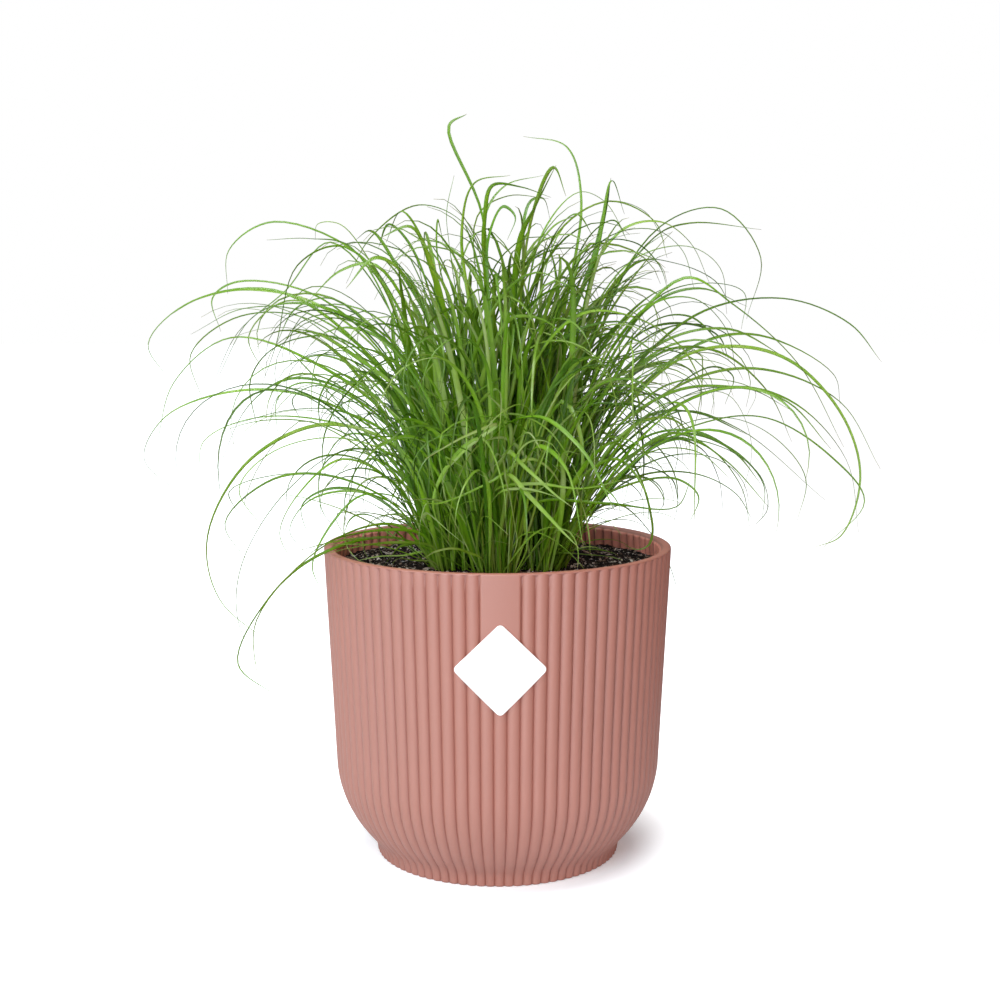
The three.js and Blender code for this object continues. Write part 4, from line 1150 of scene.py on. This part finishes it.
def pot_material():
    n = new_material("pot_plastic")
    cloud, fine, grain = n.noise(22, 3, 0.55), n.noise(900, 4, 0.6), n.noise(2600, 3, 0.6)
    hollow, inside = n.attribute("hollow"), n.attribute("inside")
    colour = n.mix(n.spread(fine, 0.35, 0.7, 0.0, 0.12), n.ramp(cloud, *POT_COLOURS), POT_FINE_COLOUR)
    # Painted light on the inner wall and, in part, on the lip.
    colour = n.mix(inside, colour, POT_INSIDE_LIT_COLOUR)
    # Painted shade: the grooves darken towards a deep red, and those inside the rim more so.
    groove = n.math("MULTIPLY", hollow, n.math("ADD", 0.45, n.math("MULTIPLY", inside, 0.4)))
    colour = n.mix(groove, colour, POT_GROOVE_SHADE_COLOUR)
    roughness = n.spread(cloud, 0.2, 0.8, 0.45, 0.56)
    normal = n.bump(grain, strength=0.18, distance=0.0001)
    return n.finish(n.surface(colour, roughness, specular=0.88, IOR=1.58, Normal=normal))


LABEL_COLOURS = ((0.3, (0.87, 0.87, 0.86)), (0.7, (0.93, 0.93, 0.925)))


def label_material():
    n = new_material("label_film")
    colour = n.ramp(n.noise(60, 3, 0.5), *LABEL_COLOURS)
    fibre = n.noise(1400, 5, 0.65)
    roughness = n.spread(fibre, 0.3, 0.7, 0.32, 0.46)
    normal = n.bump(fibre, strength=0.08, distance=0.00005)
    return n.finish(n.surface(colour, roughness, specular=0.5, Normal=normal))


SOIL_COLOURS = (
    (0.35, (0.003, 0.002, 0.0015)),
    (0.55, (0.014, 0.009, 0.007)),
    (0.7, (0.05, 0.033, 0.025)),
)
SOIL_SPECK_COLOUR = (0.10, 0.070, 0.055)


def soil_material():
    n = new_material("potting_soil")
    colour, fine = n.ramp(n.noise(240, 4, 0.6), *SOIL_COLOURS), n.noise(1500, 5, 0.7)
    colour = n.mix(n.spread(fine, 0.6, 0.72, 0, 0.5), colour, SOIL_SPECK_COLOUR)
    roughness = n.spread(fine, 0.3, 0.7, 0.7, 0.95)
    normal = n.bump(fine, strength=0.8, distance=0.0006)
    return n.finish(n.surface(colour, roughness, specular=0.08, Normal=normal))


PEAT_COLOURS = (
    (0.0, (0.005, 0.003, 0.002)),
    (0.4, (0.05, 0.031, 0.022)),
    (0.65, (0.34, 0.24, 0.18)),
    (1.0, (0.95, 0.84, 0.74)),
)
GRIT_COLOURS = ((0.0, (0.40, 0.33, 0.28)), (0.6, (0.62, 0.58, 0.54)), (1.0, (0.85, 0.84, 0.82)))
CRUMB_DIRT_COLOUR = (0.01, 0.007, 0.005)
# (name, how many, seed, size, stretch, colours)
CRUMB_KINDS = (
    ("peat_crumbs", 5600, 901, (0.16, 0.75), (1, 4.2), PEAT_COLOURS),
    ("pale_grit", 700, 417, (0.14, 0.42), (1, 2.6), GRIT_COLOURS),
)


def crumb_material(name, colours):
    n = new_material(name)
    colour, fine = n.ramp(n.attribute("tone"), *colours), n.noise(1800, 4, 0.6)
    colour = n.mix(n.spread(fine, 0.3, 0.7, 0.0, 0.5), colour, CRUMB_DIRT_COLOUR)
    roughness = n.spread(fine, 0.2, 0.8, 0.6, 0.9)
    normal = n.bump(fine, strength=0.6, distance=0.0003)
    return n.finish(n.surface(colour, roughness, specular=0.12, Normal=normal))


# The palest tones stand partly for a leaf's own paler green and partly for painted highlight.
LEAF_COLOURS = (
    (0.0, (0.032, 0.120, 0.002)),
    (0.35, (0.125, 0.320, 0.004)),
    (0.65, (0.245, 0.490, 0.010)),
    (0.85, (0.370, 0.590, 0.060)),
    (1.0, (0.520, 0.650, 0.220)),
)
LEAF_VEIN_COLOUR = (0.40, 0.60, 0.12)
LEAF_EDGE_COLOUR = (0.07, 0.20, 0.005)
LEAF_MOTTLE_COLOUR = (0.07, 0.20, 0.008)
LEAF_BASE_COLOUR = (0.42, 0.56, 0.10)
# Painted shade towards the far ends of the leaves.
LEAF_END_SHADE_COLOUR = (0.13, 0.20, 0.05)
LEAF_TIP_COLOUR = (0.36, 0.25, 0.09)
LEAF_GLOW_COLOUR = (0.36, 0.62, 0.02)


def leaf_material():
    n = new_material("sedge_leaf")
    along, across, tone = n.attribute("along"), n.attribute("across"), n.attribute("tone")
    cloud, mottle = n.noise(70, 3, 0.5), n.noise(700, 4, 0.6)
    veins = n.math("SINE", n.math("MULTIPLY", across, 24.0))
    base = n.math("ADD", along, n.math("MULTIPLY", tone, -0.14))
    tip = n.math("ADD", along, n.math("MULTIPLY", tone, 0.05))
    green = n.ramp(n.math("ADD", tone, n.spread(cloud, 0.3, 0.7, -0.15, 0.15)), *LEAF_COLOURS)
    # (what it goes by, from where to where, its share at either end, colour)
    for value, low, high, least, most, colour in (
        (veins, -1, 1, 0.0, 0.12, LEAF_VEIN_COLOUR),
        (n.math("ABSOLUTE", across), 0.3, 1.0, 0.0, 0.3, LEAF_EDGE_COLOUR),
        (mottle, 0.4, 0.75, 0.0, 0.14, LEAF_MOTTLE_COLOUR),
        (base, -0.14, 0.10, 0.3, 0.0, LEAF_BASE_COLOUR),
        # Painted shade: each leaf darkens over its outer half.
        (along, 0.45, 1.0, 0.0, 0.5, LEAF_END_SHADE_COLOUR),
        (tip, 0.985, 1.04, 0.0, 0.7, LEAF_TIP_COLOUR),
    ):
        green = n.mix(n.spread(value, low, high, least, most), green, colour)
    ribs = n.bump(veins, strength=0.15, distance=0.00006)
    surface = n.surface(green, n.spread(mottle, 0.3, 0.7, 0.15, 0.28), specular=0.75, Normal=ribs)
    through = n.add("BsdfTranslucent", {"Color": n.mix(0.3, green, LEAF_GLOW_COLOUR), "Normal": ribs})
    return n.finish(n.mix_shaders(0.4, surface, through.outputs[0]))


# Studio

FLOOR_HALF = 6000.0
FLOOR_DROP = 0.1
FLOOR_COLOURS = ((0.3, (0.79, 0.83, 0.86)), (0.7, (0.81, 0.85, 0.88)))
FLOOR_RIGHT_COLOUR = (0.24, 0.22, 0.22)
# Painted light that only the camera sees on the floor: near the pot left and right of it, and far off.
FLOOR_GLOWS = (0.40, 0.14)
FLOOR_FAR_GLOW = 0.9
SKY_BRIGHT_SIDE = (-0.48, -0.28, 0.83)
SKY_COLOURS = ((0.34, (0.12, 0.04, 0.02)), (0.95, (0.77, 0.83, 0.87)))
# (name, place, height that it points at, size, power, colour)
LIGHTS = (
    ("front_box", (-340, -1380, 1250), 130, 900, 17.5, (0.95, 1.0, 1.03)),
    ("left_box", (-1270, -740, 1000), 130, 900, 4.5, (0.88, 1.0, 1.06)),
    ("low_box", (-500, -1420, 100), 130, 1000, 10.5, (0.95, 1.0, 1.06)),
    ("top_box", (-100, -250, 1600), 100, 700, 6.6, (0.99, 1.0, 0.95)),
    ("right_fill", (1100, -900, 560), 100, 800, 3.6, (1.0, 0.40, 0.26)),
)
CAMERA_PLACE = (1.0, -632.3, 227.5)
CAMERA_PITCH = 7.57
LENS = 56.96


def build_floor():
    """A pale floor, darker far to the right, that looks white in the picture all round the pot's shadow by
    painted light: a glow seen only by the camera, weaker near the pot and weakest to its right.
    """
    n = new_material("studio_floor")
    place = n.places["Object"]
    rightward = n.add("SeparateXYZ", {0: place}).outputs["X"]
    from_pot = n.add("VectorMath", {0: place}, operation="LENGTH").outputs["Value"]
    colour = n.ramp(n.noise(30, 2, 0.5), *FLOOR_COLOURS)
    colour = n.mix(n.spread(rightward, 0.1, 0.4, 0.0, 1.0), colour, FLOOR_RIGHT_COLOUR)
    # Painted light: the glow is weaker close to the pot and to its right, so the pot's shadow shows only
    # there.
    near_glow = n.spread(rightward, -0.03, 0.05, *FLOOR_GLOWS)
    glow = n.spread(from_pot, 0.055, 0.09, near_glow, FLOOR_FAR_GLOW)
    seen = n.add("LightPath").outputs["Is Camera Ray"]
    light = n.add("Emission", {"Strength": n.math("MULTIPLY", seen, glow)}).outputs[0]
    both = n.add("AddShader", {0: n.surface(colour, roughness=0.9, specular=0.1), 1: light}).outputs[0]
    mesh = bpy.data.meshes.new("floor")
    half, z = FLOOR_HALF * MM, -FLOOR_DROP * MM
    corners = [(-half, -half, z), (half, -half, z), (half, half, z), (-half, half, z)]
    mesh.from_pydata(corners, [], [(0, 1, 2, 3)])
    mesh.materials.append(n.finish(both))
    add_object("floor", mesh)


def build_world():
    """Soft light from all round, brighter from the left and warmer from the right, before plain white."""
    world = bpy.data.worlds.new("studio")
    bpy.context.scene.world = world
    n = Nodes(world)
    inputs = {0: n.places["Generated"], 1: SKY_BRIGHT_SIDE}
    toward = n.add("VectorMath", inputs, operation="DOT_PRODUCT").outputs["Value"]
    sky = n.add("Background", {"Color": n.ramp(n.spread(toward, -1.0, 1.0, 0.0, 1.0), *SKY_COLOURS)})
    backdrop = n.add("Background", {"Color": (1, 1, 1, 1)})
    seen = n.add("LightPath").outputs["Is Camera Ray"]
    n.finish(n.mix_shaders(seen, sky.outputs[0], backdrop.outputs[0]))


def add_area_light(name, place, target_height, size, power, colour):
    light = bpy.data.lights.new(name, "AREA")
    light.shape = "DISK"
    light.size = size * MM
    light.energy = power
    light.color = colour
    lamp = add_object(name, light)
    lamp.location = Vector(place) * MM
    towards = Vector((0, 0, target_height)) - Vector(place)
    lamp.rotation_euler = towards.to_track_quat("-Z", "Y").to_euler()


def build_camera():
    camera = bpy.data.cameras.new("camera")
    camera.lens = LENS
    camera.sensor_width = 36
    eye = add_object("camera", camera)
    eye.location = Vector(CAMERA_PLACE) * MM
    eye.rotation_euler = (math.radians(90 - CAMERA_PITCH), 0, 0)
    bpy.context.scene.camera = eye


build_camera()
build_world()
build_floor()
for light_kind in LIGHTS:
    add_area_light(*light_kind)
bpy.context.scene.view_settings.view_transform = "Standard"

build_pot(pot_material())
build_label(label_material())
build_soil(soil_material())
for crumb_kind in CRUMB_KINDS:
    build_crumbs(*crumb_kind)
build_leaves(leaf_material())
